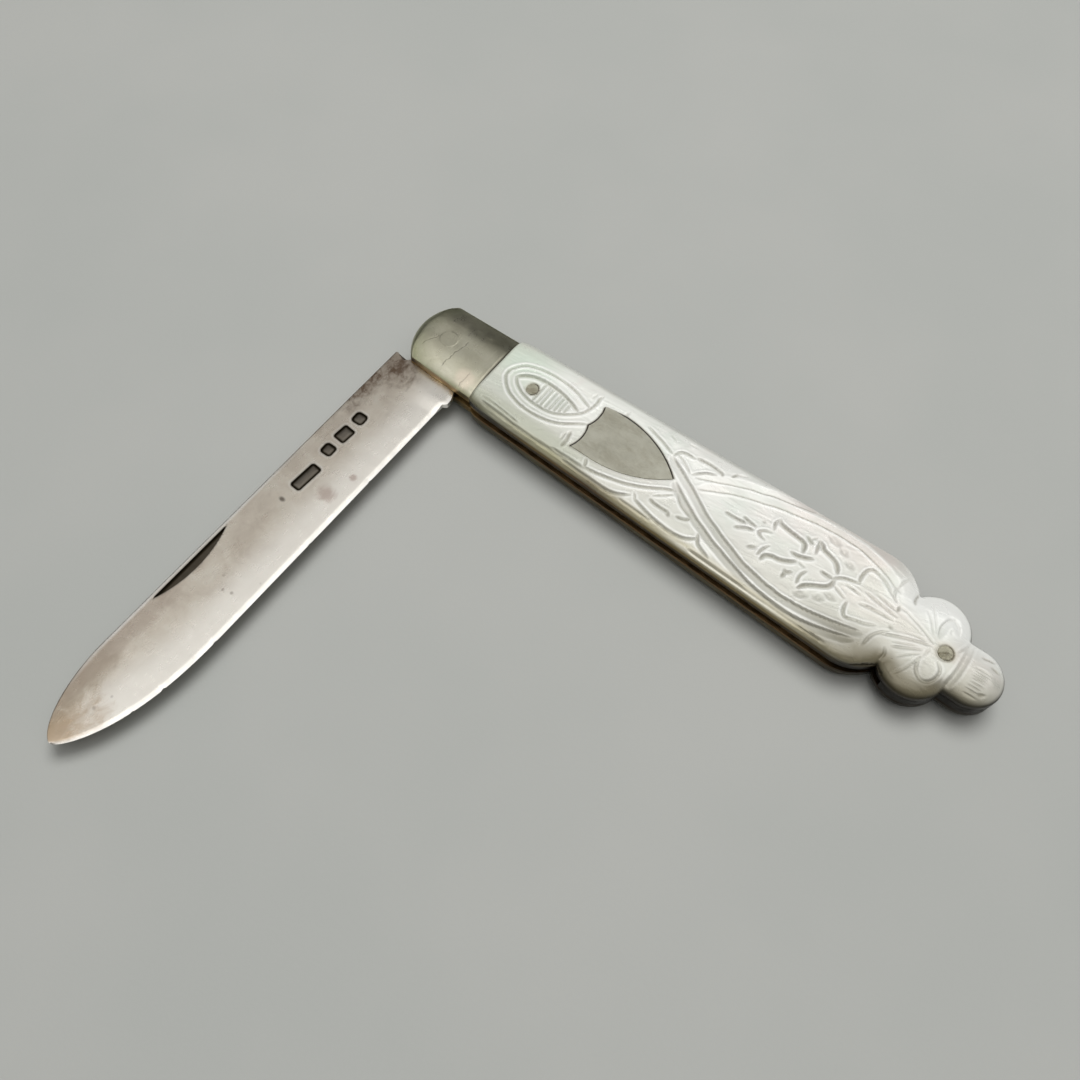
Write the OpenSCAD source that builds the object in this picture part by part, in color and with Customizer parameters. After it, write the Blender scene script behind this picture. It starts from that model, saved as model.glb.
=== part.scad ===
// Folding fruit knife, blade at half stop, millimetres.
// The pivot axis is at x = 0, y = 0. The handle runs along +X, its back is at +Y.
// The knife lies on its rear side: z = 0 is the underside, the front scale is on top.

/* [Handle] */
// length from the pivot to the end of the butt
handle_len = 76.05; // [70:0.05:90]
// distance from the pivot to the tip of the bolster's nose
nose_len = 4.75; // [4.3:0.05:6]
// radius of the nose seen from the front
nose_r = 6.6; // [5.5:0.1:9]
// width of the bolster at the pivot
nose_w = 9.8; // [9.2:0.1:11.5]
// width of the bolster at the scale
bolster_w = 10.3; // [9.6:0.1:12]
// distance from the pivot to the joint of bolster and scale
bolster_len = 7.2; // [6:0.1:10]
// width of the scales just past the bolster
scale_w = 11.4; // [10.8:0.1:13]
// width of the handle before the butt
belly_w = 14.66; // [13:0.1:17]
// how far the handle's centre line lies behind the pivot
centre_off = 0.35; // [0:0.05:0.5]
// how much narrower the scales are at the very joint with the bolster
start_drop = 0.4; // [0.1:0.05:0.6]
// length over which the scales widen from there
start_len = 2.4; // [1:0.1:4]

/* [Butt] */
// radius of the handle's rounded corners before the waist
shoulder_r = 5.5; // [4.5:0.1:6.5]
// radius of the two side lobes
lobe_r = 4; // [3.5:0.1:4.4]
// width across the side lobes
lobe_w = 12.94; // [11.5:0.1:14]
// radius of the end lobe
tail_r = 3.45; // [3:0.05:3.8]
// distance between the centres of the side lobes and the end lobe
lobe_step = 5.7; // [5:0.1:6.3]
// distance between the centres of the rounded corners and the side lobes
shoulder_step = 7.65; // [7:0.05:8.4]

/* [Stack] */
// thickness of a scale or bolster
scale_t = 1.9; // [1.6:0.05:3]
// thickness of a liner
liner_t = 0.35; // [0.3:0.05:0.8]
// thickness of the spring, which is the width of the blade well
spring_t = 1.1; // [1.1:0.05:2.5]
// play between tang and liner, each side
tang_gap = 0.05; // [0.03:0.01:0.1]

/* [Rounding] */
// width of the rounded border of the scales
round_w = 2.3; // [1.5:0.1:2.6]
// height of the scale's upright side wall
edge_h = 0.95; // [0.7:0.05:1.5]
// width of the flat land along the bolster
land_w = 1.6; // [1:0.1:3]
// radius of the bolster's domed sides
cap_r = 9; // [7:0.5:14]
// radius of the bolster's rounded front edge
nose_round = 1.4; // [0.6:0.1:1.6]

/* [Blade] */
// how far the handle reaches past the tip of the closed blade
butt_len = 11.2; // [10.6:0.1:16]
// distance from the pivot to the line of the back of the blade
spine_off = 5.4; // [5:0.05:5.6]
// distance from the pivot to the line of the cutting edge
edge_off = 4.4; // [4:0.05:4.6]
// distance from the pivot to the outermost point of the kick
kick_off = 4.9; // [4.7:0.05:5]
// how far past the line of the pivot the tip lies, towards the back
tip_off = 1.25; // [0.5:0.05:2]
// length of the curved part of the edge
belly_len = 20.85; // [14:0.5:26]
// length over which the back drops to the tip
drop_len = 10.85; // [7:0.5:14]
// thickness of the back near the pivot
spine_t = 0.95; // [0.7:0.05:1]
// thickness of the back near the tip
tip_t = 0.45; // [0.3:0.05:0.7]
// thickness left at the cutting edge
edge_t = 0.16; // [0.1:0.02:0.3]
// width of the fine bevel along the edge
bevel_w = 0.55; // [0.3:0.05:0.9]
// distance from the pivot to the blade's shoulders
shoulder_y = 4; // [3.9:0.05:4.2]

/* [Nail nick] */
// distance from the pivot to the middle of the nick
nick_y = 41; // [36:0.5:46]
// length of the nick
nick_len = 11.9; // [8:0.1:14]
// width of the nick in its middle
nick_w = 1.2; // [0.8:0.1:1.6]
// distance from the back of the blade to the nick
nick_off = 0.55; // [0.4:0.05:1]
// depth of the nick
nick_d = 0.25; // [0.15:0.05:0.3]

/* [Half stop] */
// distance from the pivot to the three flats of the tang
tang_r = 3.1; // [2.9:0.05:3.3]
// radius to which the corners of the tang are rounded
corner_r = 4.05; // [3.8:0.05:4.2]
// play between a flat of the tang and the seated spring
seat_gap = 0.02; // [0.01:0.01:0.05]
// angle from half stop to closed
closed_angle = 87; // [86:0.5:88]
// play between the kick and the spring when the knife is closed
kick_gap = 0.08; // [0.05:0.01:0.2]
// play between the tip of the blade and the end of the well
tip_gap = 0.5; // [0.3:0.1:1]
// play between the end of the spring and the blade's shoulder
head_gap = 0.15; // [0.1:0.05:0.3]

/* [Spring] */
// distance from the pivot to the middle pin of the spring
spring_pin_x = 35; // [30:0.5:40]
// how far the pin sits below the back of the handle
spring_pin_in = 1.9; // [1.5:0.1:2.3]
// length of the thicker middle of the spring
hump_len = 8; // [6:0.5:12]
// how much metal the spring has inside the middle pin
hump_wall = 1.2; // [1:0.1:1.6]
// thickness of the spring where it passes the waist of the butt
arm_t = 1.5; // [1.2:0.1:2.2]

/* [Pins] */
// radius of the pivot pin
pivot_r = 1.1; // [0.8:0.05:1.3]
// play of the blade on the pivot pin
pivot_gap = 0.05; // [0.02:0.01:0.08]
// radius of the middle pin of the spring
spring_pin_r = 0.65; // [0.5:0.05:0.8]
// radius of the pin in the butt
tail_pin_r = 0.8; // [0.5:0.05:1]
// distance from the side lobes' centres to the tail pin
tail_pin_step = 2; // [1:0.1:2.5]
// radius of the small pins near the bolster
scale_pin_r = 0.75; // [0.5:0.05:1]
// distance from the joint of bolster and scale to the small pins
scale_pin_step = 5.7; // [4:0.1:7.8]
// play between a fixed pin and its hole
pin_fit = 0.01; // [0.01:0.01:0.03]
// how far a flush pin stays below the surface
pin_sink = 0.02; // [0.01:0.01:0.05]

/* [Shield] */
// distance from the pivot to the straight end of the shield
shield_x = 21.5; // [19:0.1:24]
// length of the shield
shield_len = 12.1; // [10:0.1:14]
// width of the shield
shield_w = 7.2; // [6:0.1:7.4]
// length of the shield's straight sides
shield_side = 2.7; // [1.5:0.1:4]
// depth of the two hollows in the shield's end
scallop = 0.4; // [0.2:0.05:0.7]
// thickness of the shield
shield_t = 0.7; // [0.5:0.05:0.9]
// how far the shield lies below the face of the scale
shield_sink = 0.05; // [0.02:0.01:0.15]
// play around the shield
shield_gap = 0.02; // [0.01:0.01:0.05]
// radius of the shield's pins
shield_pin_r = 0.4; // [0.3:0.05:0.5]
// distance between the shield's pins
shield_pin_step = 5; // [3.5:0.1:6]

/* [Hidden] */
$fn = 96;
big = 200;
// an arc that runs on from a straight edge is met this far inside, so that none is only touched
hair = 0.01;

// heights of the stack
rear_liner_z = scale_t;
well_z = rear_liner_z + liner_t;
front_liner_z = well_z + spring_t;
front_scale_z = front_liner_z + liner_t;
total_t = front_scale_z + scale_t;
mid_z = total_t / 2;

// place of the small pins
scale_pin_x = bolster_len + scale_pin_step;

// centres of the butt's arcs, from the end lobe back to the rounded corners
tail_x = handle_len - tail_r;
lobe_x = tail_x - lobe_step;
lobe_y = lobe_w / 2 - lobe_r;
corner_x = lobe_x - shoulder_step;
taper = (belly_w - scale_w) / 2 / (corner_x - bolster_len);
taper_cos = 1 / sqrt(1 + taper * taper);
corner_y = belly_w / 2 - shoulder_r / taper_cos;
tangent_x = corner_x - shoulder_r * taper * taper_cos;

// waist between corner and side lobe, and between side lobe and end lobe
span = norm([lobe_x - corner_x, lobe_y - corner_y]);
along = (shoulder_r * shoulder_r - lobe_r * lobe_r + span * span) / (2 * span);
across = sqrt(shoulder_r * shoulder_r - along * along);
ux = (lobe_x - corner_x) / span;
uy = (lobe_y - corner_y) / span;
waist = [corner_x + along * ux - across * uy, corner_y + along * uy + across * ux];
neck = [lobe_x + sqrt(lobe_r * lobe_r - pow(tail_r - lobe_y, 2)), tail_r];

// half width of the scales at x
function start_cut(x) = x >= bolster_len + start_len ? 0
    : start_drop * (1 - sqrt(1 - pow(1 - (x - bolster_len) / start_len, 2)));
function side_w(x) = scale_w / 2 + taper * (x - bolster_len) - start_cut(x);
function half_w(x) = x <= tangent_x ? side_w(x)
    : x <= waist[0] ? corner_y + sqrt(shoulder_r * shoulder_r - pow(x - corner_x, 2))
    : x <= neck[0] ? lobe_y + sqrt(lobe_r * lobe_r - pow(x - lobe_x, 2))
    : x <= tail_x ? tail_r
    : sqrt(max(0, tail_r * tail_r - pow(x - tail_x, 2)));

// distance from a point of the scale to its outline
function side_d(x, y) = x <= tangent_x ? (side_w(x) - y) * taper_cos : norm([x, y] - waist);
function arc_d(x, y) = x > tangent_x && x <= corner_x + shoulder_r && y > corner_y + taper * (x - corner_x)
    && (x - corner_x) * (waist[1] - corner_y) <= (y - corner_y) * (waist[0] - corner_x)
    ? shoulder_r - norm([x - corner_x, y - corner_y]) : big;
function lobe_d(x, y) = y > lobe_y
    && (x - lobe_x) * (waist[1] - lobe_y) >= (y - lobe_y) * (waist[0] - lobe_x)
    && (x - lobe_x) * (neck[1] - lobe_y) <= (y - lobe_y) * (neck[0] - lobe_x)
    ? lobe_r - norm([x - lobe_x, y - lobe_y]) : big;
function tail_d(x, y) = x >= tail_x ? tail_r - norm([x - tail_x, y])
    : x >= neck[0] ? tail_r - y : big;
function rim_d(x, y) = max(0, min(side_d(x, y), arc_d(x, y), lobe_d(x, y), tail_d(x, y),
    norm([x, y] - waist), norm([x, y] - neck)));
function scale_h(x, y) = edge_h + (scale_t - edge_h) * sqrt(1 - pow(1 - min(1, rim_d(x, y) / round_w), 2));

// stations along the scale and across it
waist_a = atan2(waist[1] - lobe_y, waist[0] - lobe_x);
neck_a = atan2(neck[1] - lobe_y, neck[0] - lobe_x);
bend_a = atan2(waist[1] - corner_y, waist[0] - corner_x);
scale_xs = concat(
    [for (i = [0:4]) bolster_len + start_len * i * i / 25],
    [for (i = [0:14]) bolster_len + start_len + (tangent_x - bolster_len - start_len) * i / 15],
    [for (i = [0:8]) corner_x + shoulder_r * cos(90 + (bend_a - 90) * i / 9)],
    [for (i = [0:13]) lobe_x + lobe_r * cos(waist_a + (neck_a - waist_a) * i / 14)],
    [for (i = [0:2]) neck[0] + (tail_x - neck[0]) * i / 3],
    [for (i = [0:10]) tail_x + tail_r * sin(8.8 * i)]);
across_n = 18;
ring_n = across_n + 3;

function scale_ring(x) = concat(
    [[x, half_w(x), 0]],
    [for (j = [0:across_n]) let (y = half_w(x) * cos(180 * j / across_n)) [x, y, scale_h(x, abs(y))]],
    [[x, -half_w(x), 0]]);

// a closed skin over m rings of n points; each ring runs anticlockwise seen from the last one
function skin_faces(m, n) = concat(
    [[for (j = [0:n - 1]) j]],
    [for (i = [0:m - 2]) for (j = [0:n - 1]) [i * n + j, (i + 1) * n + j, (i + 1) * n + (j + 1) % n]],
    [for (i = [0:m - 2]) for (j = [0:n - 1]) [i * n + j, (i + 1) * n + (j + 1) % n, i * n + (j + 1) % n]],
    [[for (j = [0:n - 1]) m * n - 1 - j]]);

// the blade reaches from the pivot to its tip, its kick lies just past the shoulders
blade_len = handle_len - butt_len;
kick_y = shoulder_y + 2.4;
kick_end_y = kick_y + 0.55;

// the spring: inner face past the kick, end of the well, seat, middle pin and rear arm
leaf_y = kick_off * sin(closed_angle) - kick_y * cos(closed_angle) + kick_gap;
well_r = norm([tip_off, blade_len]) + tip_gap;
seat_y = tang_r + seat_gap;
head_x = shoulder_y - head_gap;
spring_pin_y = centre_off + half_w(spring_pin_x) - spring_pin_in;
hump_y = spring_pin_y - spring_pin_r - hump_wall;
arm_y = centre_off + waist[1] - arm_t;
tail_pin_x = lobe_x + tail_pin_step;

// outline of the blade, from the pivot to the tip
belly_y = blade_len - belly_len;
drop_y = blade_len - drop_len;
function spine_x(y) = y <= drop_y ? -spine_off
    : -spine_off + (spine_off - tip_off) * (1 - pow(1 - pow((y - drop_y) / drop_len, 1.8), 0.5556));
function kick_x(y) = y >= kick_end_y ? edge_off
    : y >= kick_y ? edge_off + (kick_off - edge_off) * (1 - pow((y - kick_y) / (kick_end_y - kick_y), 2))
    : kick_off - 1.1 * pow((kick_y - y) / (kick_y - shoulder_y), 2);
function edge_x(y) = y <= belly_y ? kick_x(y)
    : -tip_off + (edge_off + tip_off) * pow(1 - pow((y - belly_y) / belly_len, 2.6), 0.75);
function thick(y) = spine_t + (tip_t - spine_t) * pow((y - shoulder_y) / (blade_len - shoulder_y), 1.4);
// 0 at the unground root, 1 along the ground blade
function ground(y) = min(1, max(0, (y - kick_y) / 2.5));
blade_ys = concat(
    [for (i = [0:4]) shoulder_y + (kick_y - shoulder_y) * i / 5],
    [for (i = [0:2]) kick_y + (kick_end_y - kick_y) * i / 3],
    [kick_end_y, kick_end_y + 1, kick_end_y + 2.1],
    [for (i = [1:6]) kick_end_y + 2.1 + (belly_y - kick_end_y - 2.1) * i / 7],
    [for (i = [0:17]) belly_y + belly_len * sin(5 * i)],
    [blade_len - 0.03]);

function blade_ring(y) =
    let (a = spine_x(y), b = edge_x(y), w = b - a, t = thick(y) / 2, g = ground(y), c = min(0.12, w / 6))
    let (m = t * (1 - 0.1 * g), e = min(bevel_w, w / 3), p = a + 0.45 * w)
    let (q = m + (edge_t * 1.6 / 2 - m) * (b - e - p) / (b - p) * 0.92, f = t + (q - t) * g)
    let (h = t * 0.85 + (edge_t / 2 - t * 0.85) * g)
    [[a, -y, -t + c], [a + c, -y, -t], [p, -y, -m], [b - e, -y, -f], [b, -y, -h],
     [b, -y, h], [b - e, -y, f], [p, -y, m], [a + c, -y, t], [a, -y, t - c]];

// outline of the bolster, up to x = end
module bolster_2d(end) {
    flare = (bolster_w - nose_w) / 2 / bolster_len;
    front = -2 * nose_len;
    translate([0, centre_off])
        intersection() {
            polygon([
                [front, -nose_w / 2 - front * flare],
                [end, -nose_w / 2 - end * flare],
                [end, nose_w / 2 + end * flare],
                [front, nose_w / 2 + front * flare]
            ]);
            union() {
                translate([nose_r - nose_len, 0])
                    circle(r = nose_r);
                translate([nose_r - nose_len, -bolster_w])
                    square([big, 2 * bolster_w]);
            }
        }
}

// outline of the scales
module grip_2d() {
    sides = [for (i = [0:5]) bolster_len + start_len * i * i / 25];
    end_w = side_w(tangent_x) - hair;
    translate([0, centre_off]) {
        polygon(concat(
            [for (x = sides) [x, -half_w(x)]],
            [[tangent_x, -end_w], [corner_x, -corner_y], [corner_x, corner_y], [tangent_x, end_w]],
            [for (i = [len(sides) - 1:-1:0]) [sides[i], half_w(sides[i])]]));
        for (s = [-1, 1]) {
            translate([corner_x, s * corner_y])
                circle(r = shoulder_r);
            translate([lobe_x, s * lobe_y])
                circle(r = lobe_r);
        }
        translate([corner_x, -waist[1] / 2])
            square([lobe_x - corner_x, waist[1]]);
        translate([lobe_x, hair - tail_r])
            square([tail_x - lobe_x, 2 * (tail_r - hair)]);
        translate([tail_x, 0])
            circle(r = tail_r);
    }
}

module handle_2d() {
    bolster_2d(bolster_len + 1);
    grip_2d();
}

module pin(x, y, r, z0, z1) {
    translate([x, y, z0])
        cylinder(r = r, h = z1 - z0);
}

// the bolster with its flat side at z = 0
module bolster_solid() {
    intersection() {
        linear_extrude(height = scale_t)
            bolster_2d(bolster_len);
        translate([-2 * nose_len, centre_off, 0])
            rotate([90, 0, 90])
                linear_extrude(height = 2 * nose_len + bolster_len)
                    bolster_section_2d();
        union() {
            translate([nose_r - nose_len, centre_off, 0])
                rotate_extrude()
                    nose_section_2d();
            translate([nose_r - nose_len, centre_off - bolster_w, 0])
                cube([bolster_len - nose_r + nose_len, 2 * bolster_w, scale_t]);
        }
    }
}

module bolster_section_2d() {
    intersection() {
        translate([-bolster_w, 0])
            square([2 * bolster_w, scale_t]);
        union() {
            translate([-land_w / 2, -cap_r])
                square([land_w, cap_r + scale_t]);
            translate([land_w / 2, scale_t - cap_r])
                circle(r = cap_r);
            translate([-land_w / 2, scale_t - cap_r])
                circle(r = cap_r);
        }
    }
}

module nose_section_2d() {
    square([nose_r - nose_round, scale_t]);
    square([nose_r, scale_t - nose_round]);
    translate([nose_r - nose_round, scale_t - nose_round])
        intersection() {
            circle(r = nose_round);
            square([nose_round, nose_round]);
        }
}

// the scale with its flat side at z = 0
module scale_solid() {
    translate([0, centre_off, 0])
        polyhedron(
            points = [for (x = scale_xs) for (p = scale_ring(x)) p],
            faces = skin_faces(len(scale_xs), ring_n),
            convexity = 6);
}

module shield_2d(gap) {
    half = shield_w / 2 + gap;
    bow_len = shield_len - shield_side;
    bow_r = (bow_len * bow_len + shield_w * shield_w / 4) / shield_w;
    hollow_r = (pow(shield_w / 4, 2) + scallop * scallop) / (2 * scallop);
    translate([shield_x, centre_off])
        difference() {
            union() {
                translate([-gap, hair - half])
                    square([shield_side + gap, 2 * (half - hair)]);
                intersection() {
                    translate([shield_side, shield_w / 2 - bow_r])
                        circle(r = bow_r + gap);
                    translate([shield_side, bow_r - shield_w / 2])
                        circle(r = bow_r + gap);
                    translate([shield_side / 2, -half])
                        square([2 * shield_len, 2 * half]);
                }
            }
            translate([scallop - hollow_r, shield_w / 4])
                circle(r = hollow_r - gap);
            translate([scallop - hollow_r, -shield_w / 4])
                circle(r = hollow_r - gap);
        }
}

shield_z = total_t - shield_sink - shield_t;
shield_mid_x = shield_x + shield_side + 0.6;

module shield_holes(r) {
    for (s = [-1, 1])
        pin(shield_mid_x + s * shield_pin_step / 2, centre_off, r, front_scale_z - 1, shield_z + 0.1);
}

module front_bolster() {
    color([0.72, 0.70, 0.64])
        difference() {
            translate([0, 0, front_scale_z])
                bolster_solid();
            pin(0, 0, pivot_r + pin_fit, front_scale_z - 1, total_t + 1);
        }
}

module rear_bolster() {
    color([0.72, 0.70, 0.64])
        difference() {
            translate([0, 0, scale_t])
                mirror([0, 0, 1])
                    bolster_solid();
            pin(0, 0, pivot_r + pin_fit, -1, scale_t + 1);
        }
}

module front_scale() {
    color([0.93, 0.94, 0.91])
        difference() {
            translate([0, 0, front_scale_z])
                scale_solid();
            pin(scale_pin_x, centre_off, scale_pin_r + pin_fit, front_scale_z - 1, total_t + 1);
            pin(tail_pin_x, centre_off, tail_pin_r + pin_fit, front_scale_z - 1, total_t + 1);
            translate([0, 0, shield_z])
                linear_extrude(height = total_t + 1 - shield_z)
                    shield_2d(shield_gap);
            shield_holes(shield_pin_r + pin_fit);
        }
}

module rear_scale() {
    color([0.93, 0.94, 0.91])
        difference() {
            translate([0, 0, scale_t])
                mirror([0, 0, 1])
                    scale_solid();
            pin(scale_pin_x, centre_off, scale_pin_r + pin_fit, -1, scale_t + 1);
            pin(tail_pin_x, centre_off, tail_pin_r + pin_fit, -1, scale_t + 1);
        }
}

module liner(z) {
    difference() {
        translate([0, 0, z])
            linear_extrude(height = liner_t)
                handle_2d();
        pin(0, 0, pivot_r + pin_fit, z - 1, z + liner_t + 1);
        pin(scale_pin_x, centre_off, scale_pin_r + pin_fit, z - 1, z + liner_t + 1);
        pin(spring_pin_x, spring_pin_y, spring_pin_r + pin_fit, z - 1, z + liner_t + 1);
        pin(tail_pin_x, centre_off, tail_pin_r + pin_fit, z - 1, z + liner_t + 1);
    }
}

module front_liner() {
    color([0.66, 0.55, 0.34])
        liner(front_liner_z);
}

module rear_liner() {
    color([0.66, 0.55, 0.34])
        liner(rear_liner_z);
}

// what the spring leaves open between the liners
module well_2d() {
    intersection() {
        circle(r = well_r);
        polygon([
            [-big, -big],
            [-big, seat_y],
            [tang_r + 0.5, seat_y],
            [tang_r + 1.1, leaf_y],
            [spring_pin_x - 1.4 * hump_len, leaf_y],
            [spring_pin_x - hump_len / 2, hump_y],
            [spring_pin_x + hump_len / 2, hump_y],
            [spring_pin_x + hump_len, arm_y],
            [big, arm_y],
            [big, -big]
        ]);
    }
    translate([-big, -big])
        square([big - head_x, 2 * big]);
}

module backspring() {
    color([0.55, 0.54, 0.52])
        difference() {
            translate([0, 0, well_z])
                linear_extrude(height = spring_t)
                    difference() {
                        handle_2d();
                        well_2d();
                    }
            pin(spring_pin_x, spring_pin_y, spring_pin_r + pin_fit, well_z - 1, front_liner_z + 1);
            pin(tail_pin_x, centre_off, tail_pin_r + pin_fit, well_z - 1, front_liner_z + 1);
        }
}

module tang_2d() {
    lean = 90 - closed_angle;
    root = shoulder_y + 0.3;
    intersection() {
        polygon([
            [-tang_r, tang_r],
            [-tang_r, -root],
            [(tang_r + root * sin(lean)) / cos(lean), -root],
            [tang_r * (1 - sin(lean)) / cos(lean), tang_r]
        ]);
        union() {
            circle(r = corner_r);
            translate([-big, -2 * root])
                square([2 * big, 2 * root]);
        }
    }
}

module nick_2d() {
    r = (nick_len * nick_len / 4 + nick_w * nick_w) / (2 * nick_w);
    intersection() {
        translate([-spine_off + nick_off + nick_w - r, -nick_y])
            circle(r = r);
        translate([-spine_off + nick_off, -nick_y - nick_len])
            square([2 * r, 2 * nick_len]);
    }
}

module blade() {
    color([0.78, 0.76, 0.72])
        difference() {
            union() {
                translate([0, 0, well_z + tang_gap])
                    linear_extrude(height = spring_t - 2 * tang_gap)
                        tang_2d();
                translate([0, 0, mid_z])
                    polyhedron(
                        points = [for (y = blade_ys) for (p = blade_ring(y)) p],
                        faces = skin_faces(len(blade_ys), 10),
                        convexity = 6);
            }
            pin(0, 0, pivot_r + pivot_gap, -1, total_t + 1);
            translate([0, 0, mid_z + thick(nick_y) / 2 - nick_d])
                linear_extrude(height = 1)
                    nick_2d();
        }
}

module shield() {
    color([0.66, 0.65, 0.60])
        translate([0, 0, shield_z])
            linear_extrude(height = shield_t)
                shield_2d(0);
}

module shield_pin_left() {
    color([0.66, 0.65, 0.60])
        pin(shield_mid_x - shield_pin_step / 2, centre_off, shield_pin_r, front_scale_z, shield_z);
}

module shield_pin_right() {
    color([0.66, 0.65, 0.60])
        pin(shield_mid_x + shield_pin_step / 2, centre_off, shield_pin_r, front_scale_z, shield_z);
}

module pivot_pin() {
    color([0.72, 0.70, 0.64])
        pin(0, 0, pivot_r, pin_sink, total_t - pin_sink);
}

module spring_pin() {
    color([0.72, 0.70, 0.64])
        pin(spring_pin_x, spring_pin_y, spring_pin_r, rear_liner_z, front_scale_z);
}

module tail_pin() {
    color([0.72, 0.70, 0.64])
        pin(tail_pin_x, centre_off, tail_pin_r, pin_sink, total_t - pin_sink);
}

module front_scale_pin() {
    color([0.72, 0.70, 0.64])
        pin(scale_pin_x, centre_off, scale_pin_r, front_liner_z, total_t - pin_sink);
}

module rear_scale_pin() {
    color([0.72, 0.70, 0.64])
        pin(scale_pin_x, centre_off, scale_pin_r, pin_sink, well_z);
}

blade();
backspring();
front_liner();
rear_liner();
front_bolster();
rear_bolster();
front_scale();
rear_scale();
shield();
shield_pin_left();
shield_pin_right();
pivot_pin();
spring_pin();
tail_pin();
front_scale_pin();
rear_scale_pin();
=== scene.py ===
"""The looks of the folding fruit knife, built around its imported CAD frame.

Blender works in metres. Sizes and curves below are in millimetres, as in the part's source, and MM turns them
into metres.
"""

import math

import bpy
import numpy as np
from mathutils import Matrix, Vector


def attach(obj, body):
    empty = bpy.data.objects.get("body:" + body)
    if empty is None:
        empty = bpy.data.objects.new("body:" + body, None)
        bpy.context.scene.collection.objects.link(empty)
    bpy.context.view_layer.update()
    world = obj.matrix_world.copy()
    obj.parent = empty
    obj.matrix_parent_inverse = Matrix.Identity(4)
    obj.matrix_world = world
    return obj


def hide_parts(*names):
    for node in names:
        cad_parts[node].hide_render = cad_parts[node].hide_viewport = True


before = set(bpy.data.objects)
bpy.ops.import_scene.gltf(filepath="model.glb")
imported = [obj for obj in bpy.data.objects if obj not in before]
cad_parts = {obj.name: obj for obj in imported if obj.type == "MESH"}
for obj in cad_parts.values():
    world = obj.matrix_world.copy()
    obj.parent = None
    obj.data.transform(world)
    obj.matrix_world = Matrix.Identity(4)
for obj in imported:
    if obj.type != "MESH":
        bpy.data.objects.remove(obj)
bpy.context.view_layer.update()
MM = 0.001

# ---------------- sizes, as in the part's source
TOTAL_T, SCALE_T, EDGE_H, ROUND_W = 5.6, 1.9, 0.95, 2.3
SPRING_T, TANG_GAP, CENTRE_OFF = 1.1, 0.05, 0.35
FRONT_Z, MID_Z = TOTAL_T - SCALE_T, TOTAL_T / 2
BOLSTER_LEN, NOSE_LEN, NOSE_R, NOSE_W, BOLSTER_W = 7.2, 4.75, 6.6, 9.8, 10.3
LAND_W, CAP_R, NOSE_ROUND = 1.6, 9.0, 1.4
SCALE_W, START_DROP, START_LEN = 11.4, 0.4, 2.4
SHOULDER_R, LOBE_R, TAIL_R = 5.5, 4.0, 3.45
TAIL_X, LOBE_X, LOBE_Y, CORNER_X, CORNER_Y = 72.6, 66.9, 2.47, 59.25, 1.8273
TANGENT_X, TAPER = 59.078, 0.031316
TAPER_COS = 1 / math.hypot(1, TAPER)
SCALE_PIN_X, SCALE_PIN_R, TAIL_PIN_X, TAIL_PIN_R, PIVOT_R = 12.9, 0.75, 68.9, 0.8, 1.1
SHIELD_X, SHIELD_LEN, SHIELD_W, SHIELD_SIDE, SCALLOP = 21.5, 12.1, 7.2, 2.7, 0.4
SHIELD_Z = 4.85
BLADE_LEN, SHOULDER_Y, SPINE_OFF, EDGE_OFF, KICK_OFF, TIP_OFF = 64.85, 4.0, 5.4, 4.4, 4.9, 1.25
BELLY_LEN, DROP_LEN, SPINE_T, TIP_T, EDGE_T, BEVEL_W = 20.85, 10.85, 0.95, 0.45, 0.16, 0.55
BELLY_Y, DROP_Y, KICK_Y = BLADE_LEN - BELLY_LEN, BLADE_LEN - DROP_LEN, 6.4
KICK_END_Y = KICK_Y + 0.55
NICK_Y, NICK_LEN, NICK_W, NICK_OFF, NICK_D = 41.0, 11.9, 1.2, 0.55, 0.25
TANG_R, CORNER_R, BORE_R, CLOSED_LEAN = 3.1, 4.05, 1.15, math.radians(3)

# ---------------- sizes that only the looks have
LIP_W, LIP_H = 0.34, 0.045  # the raised lips beside a carved line
WORN_X, WORN_LEN = 56.5, 4  # where the carving starts to be worn flat, and how soon it is
BUTT_X, BUTT_BLEND = 59, 6  # where the border of the scales starts to get softer
BUTT_EDGE, BUTT_ROUND = 0.55, 0.9  # how much lower and wider it gets
PIN_POCKET, PIN_PLAY, SHIELD_SEAT = 0.6, 0.012, 0.02
NICK_RIM_D, MARK_D = 0.06, 0.11  # depth of the nick beside the back, and of the struck marks
CHIPS = ((20.5, 0.10, 0.35), (31.0, 0.07, 0.3), (46.2, 0.10, 0.4), (53.4, 0.16, 0.35), (57.2, 0.1, 0.3))
WORN_AT = (-5.4, -5.1, -4.5, -4.0, -3.6, -3.1, -2.6, -2.0)  # across the blade's shoulder
WORN_DEEP = (0.42, 0.3, 0.55, 0.82, 0.74, 0.26, 0.15, 0)


def circle_meet(c0, r0, c1, r1):
    """The upper point where two circles meet."""
    dx, dy = c1[0] - c0[0], c1[1] - c0[1]
    span = math.hypot(dx, dy)
    along = (r0 * r0 - r1 * r1 + span * span) / (2 * span)
    across = math.sqrt(r0 * r0 - along * along)
    return (c0[0] + (along * dx - across * dy) / span, c0[1] + (along * dy + across * dx) / span)


WAIST = circle_meet((CORNER_X, CORNER_Y), SHOULDER_R, (LOBE_X, LOBE_Y), LOBE_R)
NECK = (LOBE_X + math.sqrt(LOBE_R**2 - (TAIL_R - LOBE_Y) ** 2), TAIL_R)

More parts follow.
